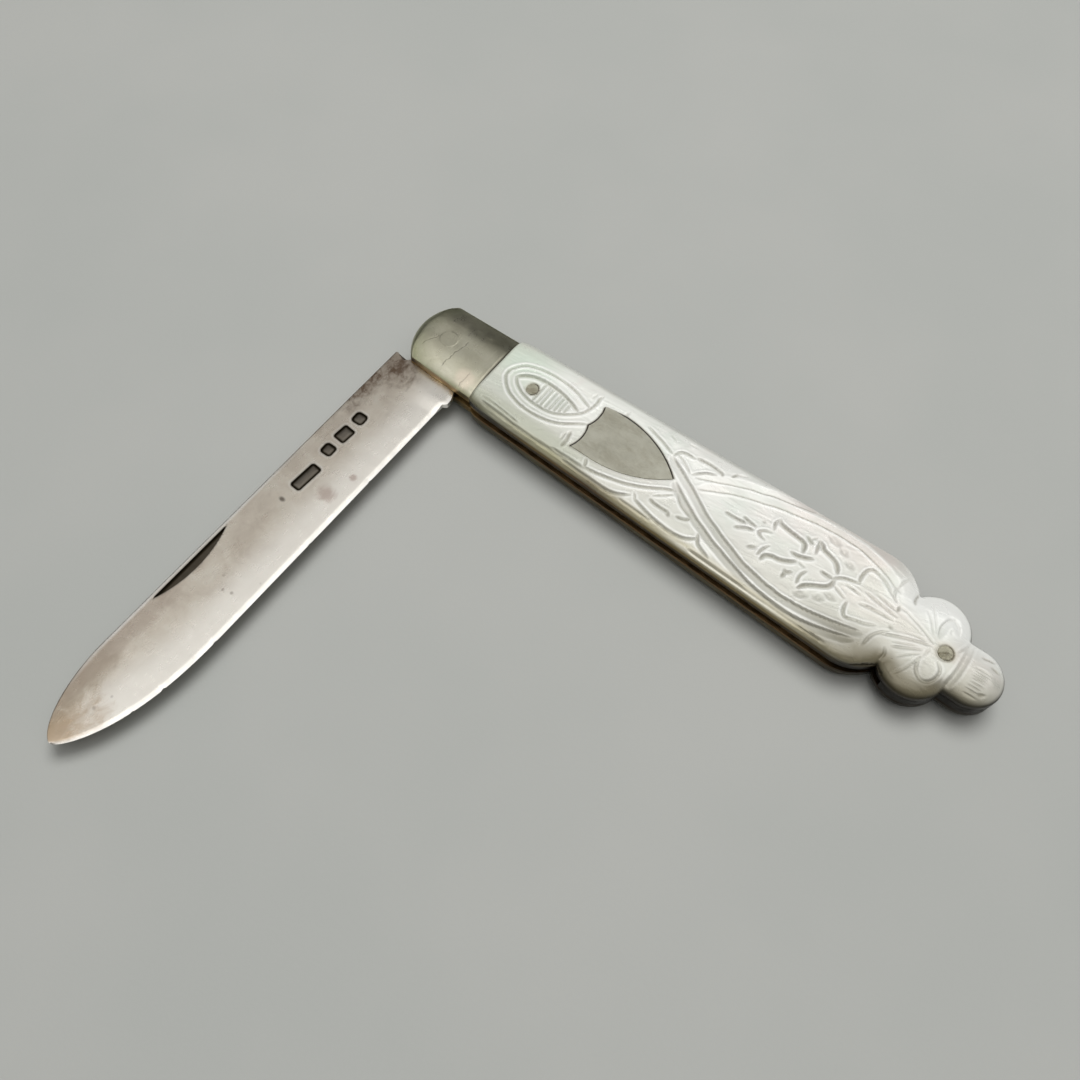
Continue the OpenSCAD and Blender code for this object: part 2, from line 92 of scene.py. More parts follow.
# ---------------- the carving of the scales
# A kind's numbers are the depth, the half width left and right of the stroke's direction, the length of its
# tapered ends, and how dark the groove is painted, dirt and painted shade together.
KINDS = {
    "line": (0.17, 0.21, 0.27, 1.0, 0.7),
    "fine": (0.10, 0.15, 0.18, 0.8, 0.5),
    "deep": (0.24, 0.25, 0.42, 0.8, 0.9),
    "down": (0.28, 0.21, 0.85, 1.2, 0.75),
    "up": (0.28, 0.85, 0.21, 1.2, 0.75),
    "soft": (0.26, 0.50, 0.50, 0.8, 0.2),
    "rib": (0.14, 0.22, 0.22, 0.25, 0.5),
    "tick": (0.18, 0.23, 0.32, 0.35, 0.85),
    "dot": (0.20, 0.34, 0.34, 0.10, 1.15),
}
SHORT_KINDS = ("dot", "tick")
# a kind, then x y pairs along the stroke; an indented line goes on with the stroke above it
CARVING = """
# border along the mouth
fine 8.5 -4.0 11 -4.12 14.4 -4.45
line 8.9 -4.6 11.5 -4.72 14.5 -4.93 17 -5.0 20 -4.98 22 -4.97
fine 10.5 -5.25 14 -5.42 18 -5.55 22 -5.65 26 -5.75
line 19.7 -4.75 24.3 -4.7
line 40 -6 44 -6.1 50 -6.25 58 -6.4
# pointed oval by the bolster, with its second line
line 20.1 2.4 19 2.8 18 3.15 17 3.4 16 3.55 15 3.6 14 3.6 13 3.5 12 3.35 11 3.05 10.3 2.75 9.6 2.1 9.1 1.3 8.98 .65
  9.1 0 9.5 -.5 10.1 -1.1 11 -1.7 12 -2.05 13 -2.3 14 -2.4 15 -2.4 16 -2.3 17 -2.1 18 -1.75 19 -1.2 20 -.45 20.8 .1
  21.2 .4
deep 10.2 .7 10.9 1.4 12 2 13 2.2 14 2.3 15 2.25 16 2.15 17 1.95 18 1.65 19.2 1.2
line 10.2 .8 10.55 .3 11.1 -.2 12 -.7 13 -1 14 -1.15 15 -1.15 16 -1.1 17 -.85 18 -.3 19 .45 19.8 1.3 20.2 2.3 20.4 3.3
  20.35 4.2 20.5 4.8
tick 20.3 -1.7 20.55 -2.8 20.55 -3.9
fine 19.9 -2.1 20 -3.2
fine 19.7 4.6 19.6 3.8
# lines round the shield
line 24.2 4.1 24.3 4.85
line 23.9 -3.5 24.2 -4 24.4 -4.7
line 24.2 -4.6 26 -4.4 28 -3.95 29.5 -3.5 31 -2.85 32.5 -2 33.6 -1.3 34.8 -.7
fine 33 -2.85 34 -2.1 34.9 -1.3
line 21.5 -5.25 25 -5.35 28 -5.4 29.5 -5.1 30.8 -4.4
fine 31 -3.8 31.4 -4.2 31.7 -4.7
line 31.5 -4.5 33 -4.9 35 -5.3 37 -5.45 38.5 -5.3 39.5 -4.9 40.1 -4.4
line 39.9 -3.8 40.4 -4.7 41 -5.1 42.4 -5.6
fine 30 -5.45 32 -5.5 34.4 -5.65
fine 30.2 5.3 30.9 5
fine 32.5 5.6 33.6 5.7
# ribbon that comes down from the shield's point
line 27.3 4.6 29 4.1 30 3.8 31.6 3.2
down 32 2.85 33 2.35 34 1.85 35 1.3 36 .8 37 .2 38 -.4 39 -1 40 -1.5 41 -1.9 42 -2.35 43 -2.75 44 -3.1 45 -3.5
  46 -3.85 47 -4.05 48 -4.25 49 -4.45 50 -4.55 51 -4.65 52 -4.65 53 -4.6 54 -4.5 55 -4.35 56 -4.15 57 -3.95 58 -3.7
  59.5 -3.3 60.5 -3
down 34.2 .2 35 -.3 36 -.9 37 -1.45 38 -2 39 -2.5 40 -2.9 41 -3.35 42 -3.75 43 -4.05 44 -4.4 45 -4.7 46 -5 47 -5.3
  48 -5.5 49 -5.65 50 -5.75 52 -5.9 54 -5.85 55 -5.7 56 -5.5 57 -5.25 58 -5 60 -4.3
# ribbon that rises to the back
up 35.9 2.2 37 2.8 38 3.2 39 3.7 40 4.1 41 4.55 42 4.9 43 5.15 44 5.55 45 5.8 46 6 47 6.25 48 6.5 49 6.7
up 37 1.15 38 1.8 39 2.3 40 2.85 41 3.25 42 3.6 43 3.9 44 4.2 45 4.55 46 4.8 47 5 48 5.2 49 5.4 50 5.6 51 5.7 52 5.8
  53 5.85 55 5.8 56 5.7 57 5.45 58 5.2 59.5 4.7 61.5 3.7
# leaves beside the crossing
line 31.9 3.1 32.3 3.9 33 4.2 34.2 4.25
fine 32.2 3.5 33 3.3 34 2.75 34.8 2.2
tick 34.5 4.5 36 4.65 37.7 4.5 38 4.2
line 35.1 2.25 35.8 2.95 36.5 3.5 37.4 3.85
tick 39 4.8 39.4 5.5
fine 39.4 5.4 40.5 5.95
line 35.2 -.9 35.8 -1.5 36.5 -2 37.5 -2.4 38.1 -2.7
tick 38.1 -2.7 37.9 -3.1 37.4 -3.35 36.7 -3.5
tick 33 -3.4 33.8 -3.6 35.6 -3.6
tick 35.5 -3.5 35.9 -4
# sprig
tick 40.9 .5 42 .5 43.4 .65
tick 42.9 1.25 43.6 1.1 44.6 1
tick 42.7 -.5 43.2 -.2 44 .25 44.6 .4
tick 45 2.15 45.2 2
tick 45.2 -1.7 45.9 -1.25
tick 50 3.5 50.3 3.3 50.9 3
fine 50.4 3.2 51 4
tick 50.2 -2.6 50.2 -1.9
tick 50 -1.6 50.3 -1.8 50.8 -1.4
# first tulip
line 46.5 1.4 45.8 1.15 45.3 .7 45.6 .3 46.3 .12
line 46.5 1.9 46.2 2.7 46.4 3.5
deep 46.4 3.4 46.9 3.05 48 2.85 49 2.75 50 2.6 50.4 2.2 50.6 1.4
line 47.1 -.2 46.75 -1 46.6 -1.9
deep 47.15 -2.2 47.3 -1.5 48 -1.1 49 -.9 50 -.4 50.5 0
# second tulip
deep 49.5 .7 50.2 .7 51 .95 51.9 1.4
fine 50.7 .1 51.7 -.1
line 51.8 2.1 51.6 3 51.4 3.9
deep 51.4 3.8 51.9 3.6 52.3 3.2 53 3 54 2.7 54.6 2.2 55 1.5
line 52.1 -.3 51.8 -1.2 51.9 -2.3
deep 52.3 -2.7 52.7 -2 53.5 -1.4 54.5 -.8 55 -.3 55.1 .5
tick 53.4 .65 54.8 .6
line 54.8 .6 55.3 1.05 56 1.5 57 1.8 57.6 1.95
soft 52.1 5 53.5 4.75
soft 53.9 4.4 54.7 4.1
soft 55.2 3.3 56 3.1
soft 52.4 -3.4 53.5 -2.95
soft 54.4 -2.5 55.1 -2.15
soft 55.2 -1.4 56.2 -1.45
fine 55.4 0 57.1 -.65
# leaf that fans out towards the butt
line 57.5 1.9 57.3 2.7 57.4 3.7 57.8 4.25 58.4 4.3 59.5 4 60.3 3.55 61.3 2.8
line 57.5 -.8 57.6 -1.7 57.9 -2.3 58.3 -2.5 59.3 -2.2 60.3 -1.9 61.4 -1.35
line 58.6 1.5 60 1.25 62.8 .9
line 59.8 2 62.4 1.5
line 58.7 -.2 60 .1 62.6 .3
fine 56.5 .95 58.3 .8
line 61.8 5.9 61.4 5 61.2 4 61.3 3 61.95 2.45
line 62.8 -1.1 61.9 -2.1 61.5 -3 61.35 -4.3
tick 63.5 4.9 63.45 4 63.65 3.5
line 63.4 -2.95 63.75 -3.5 63.6 -4.3
tick 62.45 1.5 62.45 2.2
fine 62.4 2.2 63.3 2
dot 62.75 -.6 62.85 -.6
# rays that meet before the tail pin
fine 62.5 2.3 64.5 1.75 66.5 1 67.5 .5
fine 65.1 3.7 66 2.8 66.9 1.5
fine 65.4 4.5 66.3 3.2 67.1 1.8
line 62.2 -1.9 64 -1 66 -.2 67.3 .2
fine 63.7 -1.95 65 -1.3 66.2 -.7
line 63.9 -2.45 65.5 -1.5 66.7 -.8
fine 64.9 -3.1 66 -2 66.9 -1.2
fine 65.4 -5 66.1 -4 66.6 -2.8 67.1 -1.2
fine 65.2 .15 66.8 .35
# petals by the tail pin
down 67.4 1.7 67.2 2.6 67.3 3.5 67.6 4.15 68 4.4 68.5 4.2 68.9 3.8 69.15 3.4
line 70.7 3.2 70.5 2.3 70 1.3
fine 67.4 -.1 67.15 -1.3
line 68.7 -1 69.3 -1.5 69.5 -2.2 69.3 -3.1 68.7 -3.75 67.95 -3.8 67.3 -3.3 67 -2.6 66.95 -1.9
fine 68.5 2.6 68.3 3.1 68.7 3.5
# end lobe
soft 70.75 3.1 70.95 1.5 70.95 -1 70.7 -2.7
fine 71.15 3.2 71.3 1.5 71.3 -1 71.1 -2.7
tick 72.4 2.4 73.7 2.75
tick 73.7 1.95 74.6 1.9
tick 73.8 -1.6 74.5 -1.2
"""
RIBS = ((13.9, 2.0, -0.85), (14.5, 2.0, -0.95), (15.1, 2.0, -0.95), (15.7, 1.95, -0.9), (16.3, 1.85, -0.8),
        (16.9, 1.75, -0.6), (17.45, 1.55, -0.4), (18.0, 1.35, -0.05))
HATCHES = (0.9, 0.55, 0.25, -0.05, -0.35, -0.8, -1.25, -1.7, -2.2)
STROKES = [line.split(" ", 1) for line in CARVING.replace("\n  ", " ").splitlines() if line and line[0] != "#"]
STROKES += [("rib", f"{x} {top} {x} {low}") for x, top, low in RIBS]
STROKES += [("fine", f"{72.3 + 0.1 * (k % 3)} {y} {74 + 0.12 * (k % 2)} {y + 0.12}") for k, y in enumerate(HATCHES)]


def ease(v):
    """Smoothly from 0 at v = 0 to 1 at v = 1."""
    return v * v * (3 - 2 * v)


def smooth_path(text, step=0.2):
    """Points along a Catmull-Rom curve through the x y pairs in text, and the length up to each."""
    p = np.array(text.split(), float).reshape(-1, 2)
    if len(p) > 2:
        q = np.vstack([2 * p[0] - p[1], p, 2 * p[-1] - p[-2]])
        out = []
        for a, b, c, d in zip(q, q[1:], q[2:], q[3:]):
            t = np.linspace(0, 1, max(2, int(np.linalg.norm(c - b) / step) + 1), endpoint=False)[:, None]
            cubic = (2 * a - 5 * b + 4 * c - d) * t**2 + (3 * b - a - 3 * c + d) * t**3
            out.append(0.5 * (2 * b + (c - a) * t + cubic))
        p = np.vstack([*out, p[-1]])
    return p, np.concatenate([[0], np.cumsum(np.linalg.norm(np.diff(p, axis=0), axis=1))])


def carve(x, y, strokes):
    """Depth of the carving, how dark its dirt and painted shade are, and its raised lips, also painted as highlights,
    at grid points x, y whose rows each have one x.
    """
    cut, dirt_and_shade, lip = np.zeros((3, *x.shape))
    rows = x[:, 0]
    for kind, text in strokes:
        depth, left, right, taper, dark = KINDS[kind]
        path, run = smooth_path(text)
        wide = max(left, right) + LIP_W
        lips, fade = (0.5, 0) if kind in SHORT_KINDS else (1.0, 0.6)
        for a, b, s in zip(path, path[1:], run):
            i0, i1 = np.searchsorted(rows, (min(a[0], b[0]) - wide, max(a[0], b[0]) + wide))
            if i0 == i1:
                continue
            dx, dy = x[i0:i1] - a[0], y[i0:i1] - a[1]
            ex, ey = b - a
            length = math.hypot(ex, ey)
            t = np.clip((dx * ex + dy * ey) / length**2, 0, 1)
            off = np.hypot(dx - t * ex, dy - t * ey)
            along = s + t * length
            ends = np.clip(np.minimum(along, run[-1] - along) / taper, 0, 1)
            ends = 0.25 + 0.75 * ends * (2 - ends)
            half = np.where(ex * dy - ey * dx > 0, left, right) * (0.5 + 0.5 * ends)
            v = np.clip(1 - off / half, 0, 1)
            v = 0.45 * v + 0.55 * ease(v)
            core = np.clip(1.15 - off / (0.9 * min(left, right)), 0, 1)
            worn = min(1.0, max(0.0, (a[0] - WORN_X) / WORN_LEN))
            ridge = np.clip(1 - np.abs(off - half - LIP_W / 2) / (LIP_W / 2), 0, 1)
            for field, value in ((cut, depth * (1 - 0.3 * worn) * ends * v),
                                 (dirt_and_shade, dark * (1 - fade * worn) * (0.3 + 0.7 * ends) * core),
                                 (lip, lips * (1 - 0.55 * worn) * ends * ridge)):
                field[i0:i1] = np.maximum(field[i0:i1], value)
    return cut, dirt_and_shade, lip * np.clip(1 - cut / 0.04, 0, 1)


# ---------------- shapes of the solids
def half_w(x):
    """Half the width of the scales at x."""
    start = np.clip(1 - (x - BOLSTER_LEN) / START_LEN, 0, 1)
    side = SCALE_W / 2 + TAPER * (x - BOLSTER_LEN) - START_DROP * (1 - np.sqrt(1 - start**2))
    arc = CORNER_Y + np.sqrt(np.maximum(0, SHOULDER_R**2 - (x - CORNER_X) ** 2))
    lobe = LOBE_Y + np.sqrt(np.maximum(0, LOBE_R**2 - (x - LOBE_X) ** 2))
    end = np.sqrt(np.maximum(0, TAIL_R**2 - np.maximum(0, x - TAIL_X) ** 2))
    return np.select([x <= TANGENT_X, x <= WAIST[0], x <= NECK[0]], [side, arc, lobe], end)


def rim_d(x, y):
    """Distance from the outline of the scales, for y from the centre line."""
    y, far = np.abs(y), 200.0
    to_waist, to_neck = np.hypot(x - WAIST[0], y - WAIST[1]), np.hypot(x - NECK[0], y - NECK[1])
    side = np.where(x <= TANGENT_X, (half_w(np.minimum(x, TANGENT_X)) - y) * TAPER_COS, to_waist)
    cx, cy, lx, ly = x - CORNER_X, y - CORNER_Y, x - LOBE_X, y - LOBE_Y
    on_arc = ((x > TANGENT_X) & (cx <= SHOULDER_R) & (cy > TAPER * cx)
              & (cx * (WAIST[1] - CORNER_Y) <= cy * (WAIST[0] - CORNER_X)))
    arc = np.where(on_arc, SHOULDER_R - np.hypot(cx, cy), far)
    on_lobe = ((ly > 0) & (lx * (WAIST[1] - LOBE_Y) >= ly * (WAIST[0] - LOBE_X))
               & (lx * (NECK[1] - LOBE_Y) <= ly * (NECK[0] - LOBE_X)))
    lobe = np.where(on_lobe, LOBE_R - np.hypot(lx, ly), far)
    tail = np.select([x >= TAIL_X, x >= NECK[0]], [TAIL_R - np.hypot(x - TAIL_X, y), TAIL_R - y], far)
    return np.maximum(0, np.minimum.reduce([side, arc, lobe, tail, to_waist, to_neck]))


def rounded(d, width):
    """0 at d = 0, rising as a quarter of an ellipse to 1 at d = width."""
    return np.sqrt(np.maximum(0, 1 - (1 - np.clip(d / width, 0, 1)) ** 2))


def spread(lo, hi, n, rim=0.5, m=8):
    """Rows of n + 2 m + 1 places from lo to hi, crowded together near both ends."""
    rim = np.minimum(rim, 0.3 * (hi - lo))[:, None]
    near = rim * (np.arange(m) / m)[None] ** 2
    lo, hi = lo[:, None], hi[:, None]
    inner = lo + rim + (hi - lo - 2 * rim) * np.linspace(0, 1, n + 1)[None]
    return np.hstack([lo + near, inner, (hi - near)[:, ::-1]])


def shield_outline(n=40):
    """The shield's outline as closed points, anticlockwise."""
    bow = SHIELD_LEN - SHIELD_SIDE
    r = (bow**2 + SHIELD_W**2 / 4) / SHIELD_W
    a = np.linspace(0, math.asin(bow / r), n)
    lower = np.c_[SHIELD_SIDE + r * np.sin(a), r - SHIELD_W / 2 - r * np.cos(a)]
    hollow = ((SHIELD_W / 4) ** 2 + SCALLOP**2) / (2 * SCALLOP)
    b = np.linspace(-1, 1, 17)[:-1] * math.asin(SHIELD_W / 4 / hollow)
    bite = np.c_[SCALLOP - hollow + hollow * np.cos(b), hollow * np.sin(b)]
    left = np.vstack([bite[::-1] + [0, SHIELD_W / 4], bite[::-1] - [0, SHIELD_W / 4]])
    upper = (lower * [1, -1])[::-1]
    return np.vstack([lower, upper[1:], left[1:]]) + [SHIELD_X, CENTRE_OFF]


def outline_sd(outline, x, y, near=1.0):
    """Signed distance to a closed outline, negative inside, and the way straight out, for places not farther
    than near from its box."""
    sd, nx, ny = np.full(x.shape, 99.0), np.zeros(x.shape), np.zeros(x.shape)
    (x0, y0), (x1, y1) = outline.min(0) - near, outline.max(0) + near
    m = (x > x0) & (x < x1) & (y > y0) & (y < y1)
    px, py = x[m], y[m]
    best, bx, by = np.full(px.shape, 99.0), np.zeros(px.shape), np.zeros(px.shape)
    inside = np.zeros(px.shape, bool)
    for a, b in zip(outline, np.roll(outline, -1, 0)):
        e = b - a
        t = np.clip(((px - a[0]) * e[0] + (py - a[1]) * e[1]) / (e @ e + 1e-12), 0, 1)
        ox, oy = px - a[0] - t * e[0], py - a[1] - t * e[1]
        d = np.hypot(ox, oy)
        take = d < best
        best, bx, by = np.where(take, d, best), np.where(take, ox, bx), np.where(take, oy, by)
        cross = (a[1] > py) != (b[1] > py)
        inside ^= cross & (px < a[0] + (py - a[1]) * e[0] / (e[1] if abs(e[1]) > 1e-12 else 1e-12))
    sign = np.where(inside, -1.0, 1.0)
    sd[m], nx[m], ny[m] = sign * best, sign * bx / (best + 1e-9), sign * by / (best + 1e-9)
    return sd, nx, ny


def circle_sd(cx, cy, r, x, y):
    """Signed distance to a circle, negative inside, and the way straight out."""
    d = np.hypot(x - cx, y - cy)
    return d - r, (x - cx) / (d + 1e-9), (y - cy) / (d + 1e-9)


def snap(x, y, field, gap=0.008):
    """Moves the grid points beside a pocket's outline onto it, so that its wall is crisp. Returns who lies inside."""
    sd, nx, ny = field(x, y)
    inside = sd < 0
    edge = np.zeros(x.shape, bool)
    for shift in ((1, 0), (-1, 0), (0, 1), (0, -1), (1, 1), (-1, -1)):
        edge |= np.roll(inside, shift, (0, 1)) != inside
    edge[0], edge[-1], edge[:, 0], edge[:, -1] = False, False, False, False
    edge &= np.abs(sd) < 0.3
    move = np.where(edge, np.where(inside, -gap, gap) - sd, 0)
    return x + move * nx, y + move * ny, inside


# ---------------- meshes
def link(name, verts, faces, material, attributes, sharp):
    """A smooth object whose edges past sharp degrees stay crisp."""
    mesh = bpy.data.meshes.new(name)
    mesh.from_pydata((np.asarray(verts, float) * MM).tolist(), [], faces)
    mesh.validate()
    for key, values in attributes.items():
        layer = mesh.attributes.new(key, "FLOAT", "POINT")
        layer.data.foreach_set("value", np.asarray(values, np.float32))
    mesh.shade_smooth()
    mesh.set_sharp_from_angle(angle=math.radians(sharp))
    mesh.materials.append(material)
    obj = bpy.data.objects.new(name, mesh)
    bpy.context.scene.collection.objects.link(obj)
    return obj


def quads(index):
    """The faces of a grid of points, from the points' numbers."""
    return np.stack([index[:-1, :-1], index[1:, :-1], index[1:, 1:], index[:-1, 1:]], -1).reshape(-1, 4).tolist()


def slab(name, material, top, base_z, up, fields, sharp):
    """A closed block: a grid of points for its shaped face, walls down from the grid's border, and a flat base."""
    rows, cols, _ = top.shape
    index = np.arange(rows * cols).reshape(rows, cols)
    ring = np.concatenate([index[:, 0], index[-1, 1:], index[-2::-1, -1], index[0, -2:0:-1]])
    base = top.reshape(-1, 3)[ring].copy()
    base[:, 2] = base_z
    low = rows * cols + np.arange(len(ring))
    walls = np.stack([ring, low, np.roll(low, -1), np.roll(ring, -1)], -1)
    faces = quads(index) + walls.tolist() + [low[::-1].tolist()]
    if not up:
        faces = [f[::-1] for f in faces]
    data = {key: np.concatenate([v.ravel(), v.ravel()[ring]]) for key, v in fields.items()}
    return link(name, np.vstack([top.reshape(-1, 3), base]), faces, material, data, sharp)


def scale_rows(step):
    """Places along a scale, with one exactly at each notch."""
    bend = math.atan2(WAIST[1] - CORNER_Y, WAIST[0] - CORNER_X)
    waist_a = math.atan2(WAIST[1] - LOBE_Y, WAIST[0] - LOBE_X)
    neck_a = math.atan2(NECK[1] - LOBE_Y, NECK[0] - LOBE_X)
    straight, last_a = TANGENT_X - BOLSTER_LEN - START_LEN, math.radians(89.5)

    def share(length):
        n = max(4, int(length / step))
        return np.arange(n) / n

    n, m = int(START_LEN / step * 1.15), int(4 / step)
    start, d = np.arange(n) / n, np.arange(m) / m
    return np.concatenate([
        BOLSTER_LEN + START_LEN * (0.25 * start + 0.75 * start**2),
        BOLSTER_LEN + START_LEN + straight * share(straight),
        CORNER_X + SHOULDER_R * np.cos(math.pi / 2 + (bend - math.pi / 2) * (share(5.2) + 0.02)),
        LOBE_X + LOBE_R * np.cos(waist_a + (neck_a - waist_a) * share(8.2)),
        NECK[0] + (TAIL_X - NECK[0]) * share(1.9),
        TAIL_X + TAIL_R * np.sin(last_a * d),
        [TAIL_X + TAIL_R * math.sin(last_a)]])


def make_scale(name, material, front, step, columns):
    """A carved scale with pockets for its pins and, in front, for the shield."""
    rows = scale_rows(step)
    half = half_w(rows)
    y = spread(-half, half, columns) + CENTRE_OFF
    x = np.repeat(rows[:, None], y.shape[1], 1)
    pins = (SCALE_PIN_X, SCALE_PIN_R), (TAIL_PIN_X, TAIL_PIN_R)
    low = np.zeros(x.shape)
    for cx, r in pins:
        x, y, inside = snap(x, y, lambda u, v: circle_sd(cx, CENTRE_OFF, r + PIN_PLAY, u, v))
        low[inside] = PIN_POCKET
    if front:
        outline = shield_outline()
        x, y, inside = snap(x, y, lambda u, v: outline_sd(outline, u, v))
        low[inside] = TOTAL_T - SHIELD_Z + SHIELD_SEAT
    d = rim_d(x, y - CENTRE_OFF)
    butt = np.clip((x - BUTT_X) / BUTT_BLEND, 0, 1)
    rim_h = EDGE_H - BUTT_EDGE * butt
    height = rim_h + (SCALE_T - rim_h) * rounded(d, ROUND_W + BUTT_ROUND * butt)
    cut, dirt_and_shade, lip = carve(x, y, STROKES)
    # dirt, painted shade and a shallow dip round the pins, the shield and along the bolster: the rings round the pins
    # and the shield are painted darker on one side, a painted shadow; along the bolster a dark joint
    for cx, r in pins:
        sd, nx, ny = circle_sd(cx, CENTRE_OFF, r, x, y)
        off = np.abs(sd - 0.09)
        cut = np.maximum(cut, 0.1 * np.clip(1 - off / 0.16, 0, 1))
        # painted shadow: the ring is darker towards +x and the far side
        ring = np.clip(0.7 + 0.65 * (0.75 * nx + 0.65 * ny), 0.25, 1.25)
        dirt_and_shade = np.maximum(dirt_and_shade, 1.15 * ring * np.clip(1.25 - off / 0.2, 0, 1.1))
    if front:
        sd, nx, ny = outline_sd(outline, x, y)
        # painted shadow: the ring is darker on the shield's far side and its left end
        ring = np.clip(0.3 + 1.2 * np.maximum(ny, -1.3 * nx), 0.2, 1.3)
        dirt_and_shade = np.maximum(dirt_and_shade, 1.5 * ring * np.clip(1 - (sd - 0.06) / 0.3, 0, 1) * (sd > -0.1))
        cut = np.maximum(cut, 0.12 * np.clip(1 - sd / 0.22, 0, 1) * (sd > 0))
    dirt_and_shade = np.maximum(dirt_and_shade, 1.35 * np.clip(1 - (x - BOLSTER_LEN) / 0.2, 0, 1))
    cut *= np.clip(d / 0.35, 0, 1)
    cut += 0.16 * np.clip(1 - (x - BOLSTER_LEN) / 0.4, 0, 1) ** 2
    lip *= rounded(d, 1.2)
    cut += LIP_H * (1 - lip)
    height = np.maximum(height - cut, 0.2)
    if front:
        # a painted highlight along the shield's near side, added to the lips' mask
        bright = np.clip(1.3 - np.abs(sd - 0.1) / 0.14, 0, 1) * np.clip(0.1 - 1.3 * ny, 0, 1)
        lip = np.maximum(lip, bright * (sd > -0.05))
    height = np.where(low > 0, SCALE_T - low, height)
    top = np.stack([x, y, FRONT_Z + height if front else SCALE_T - height], -1)
    fields = {"dirt_and_shade": dirt_and_shade, "rim": np.clip(d / ROUND_W, 0, 1), "lip": lip, "deep": (low > 0).astype(float)}
    obj = slab(name, material, top, FRONT_Z if front else SCALE_T, front, fields, 40)
    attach(obj, "handle")
    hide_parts("front_scale" if front else "rear_scale")


def make_bolster(name, material, front):
    """A bolster with domed sides, a rounded nose and a dip where it meets the scale."""
    turn = math.acos(math.sqrt(NOSE_R**2 - NOSE_W**2 / 4) / NOSE_R)
    nose_c, last = NOSE_R - NOSE_LEN, 0.4
    a = np.linspace(math.radians(0.6), turn, 46)[:-1]
    x0 = nose_c - NOSE_R * math.cos(turn)
    rows = np.concatenate([nose_c - NOSE_R * np.cos(a), np.linspace(x0, BOLSTER_LEN - last, 70)[:-1],
                           BOLSTER_LEN - last * (1 - np.linspace(0, 1, 10)) ** 1.5])
    side = NOSE_W / 2 + (BOLSTER_W - NOSE_W) / 2 / BOLSTER_LEN * rows
    half = np.minimum(side, np.sqrt(np.maximum(0, NOSE_R**2 - np.minimum(0, rows - nose_c) ** 2)))
    y = spread(-half, half, 80, 0.35, 6)
    x = np.repeat(rows[:, None], y.shape[1], 1)
    x, y, hole = snap(x, y, lambda u, v: circle_sd(0, -CENTRE_OFF, PIVOT_R + 0.01, u, v))
    over = np.maximum(0, np.abs(y) - LAND_W / 2)
    section = SCALE_T - CAP_R + np.sqrt(CAP_R**2 - np.minimum(over, CAP_R) ** 2)
    reach = np.where(x < nose_c, np.hypot(x - nose_c, y), 0)
    nose = SCALE_T - NOSE_ROUND + NOSE_ROUND * rounded(NOSE_R - reach, NOSE_ROUND)
    blend = np.clip(0.5 + (nose - section) / 0.24, 0, 1)
    height = nose * (1 - blend) + section * blend - 0.12 * blend * (1 - blend)
    height -= 0.12 * np.clip(1 - (BOLSTER_LEN - x) / 0.35, 0, 1) ** 2
    height -= 0.02 * np.clip(1 - rounded(NOSE_R - reach, 0.6), 0, 1)
    height = np.where(hole, SCALE_T - 0.024, height)
    top = np.stack([x, y + CENTRE_OFF, FRONT_Z + height if front else SCALE_T - height], -1)
    inset = NOSE_R - np.hypot(x - nose_c, y)
    edge = np.maximum(np.clip(1 - (half[:, None] - np.abs(y)) / 0.6, 0, 1),
                      np.clip(1.2 - inset / 2.4, 0, 1) * np.clip(0.3 + inset / 0.7, 0, 1) * (x < nose_c))
    fields = {"joint": np.clip(1 - (BOLSTER_LEN - x) / 0.5, 0, 1), "edge": edge}
    obj = slab(name, material, top, FRONT_Z if front else SCALE_T, front, fields, 35)
    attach(obj, "handle")
    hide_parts("front_bolster" if front else "rear_bolster")


# ---------------- blade
def spine_x(y):
    """The blade's back, y from the pivot towards the tip."""
    t = np.clip((y - DROP_Y) / DROP_LEN, 0, 1)
    return -SPINE_OFF + (SPINE_OFF - TIP_OFF) * (1 - (1 - t**1.8) ** 0.5556)


def edge_x(y):
    """The blade's edge with its kick and chips."""
    kick = np.select([y >= KICK_END_Y, y >= KICK_Y], [
        EDGE_OFF + 0 * y, EDGE_OFF + (KICK_OFF - EDGE_OFF) * (1 - ((y - KICK_Y) / (KICK_END_Y - KICK_Y)) ** 2)],
        KICK_OFF - 1.1 * ((KICK_Y - y) / (KICK_Y - SHOULDER_Y)) ** 2)
    t = np.clip((y - BELLY_Y) / BELLY_LEN, 0, 1)
    edge = np.where(y <= BELLY_Y, kick, -TIP_OFF + (EDGE_OFF + TIP_OFF) * (1 - t**2.6) ** 0.75)
    for at, deep, wide in CHIPS:
        edge = edge - deep * np.clip(1 - np.abs(y - at) / wide, 0, 1) ** 1.5
    return edge


def rounded_box(cx, cy, w, h, r, lean):
    """A closed outline: a rectangle with rounded corners, turned by lean degrees."""
    points = []
    for k, (sx, sy) in enumerate(((1, 1), (-1, 1), (-1, -1), (1, -1))):
        a = np.radians(90 * k + np.linspace(0, 90, 6))
        points.append(np.c_[sx * (w / 2 - r) + r * np.cos(a), sy * (h / 2 - r) + r * np.sin(a)])
    c, s = math.cos(math.radians(lean)), math.sin(math.radians(lean))
    return np.vstack(points) @ np.array([[c, s], [-s, c]]) + [cx, cy]


MARKS = [rounded_box(-2.3, -14.75, 1.7, 1.65, 0.55, 3), rounded_box(-2.3, -17.55, 1.75, 2.2, 0.35, -4),
         rounded_box(-2.35, -20.35, 1.65, 1.6, 0.5, 2), rounded_box(-1.9, -24.8, 1.55, 3.9, 0.4, -3)]


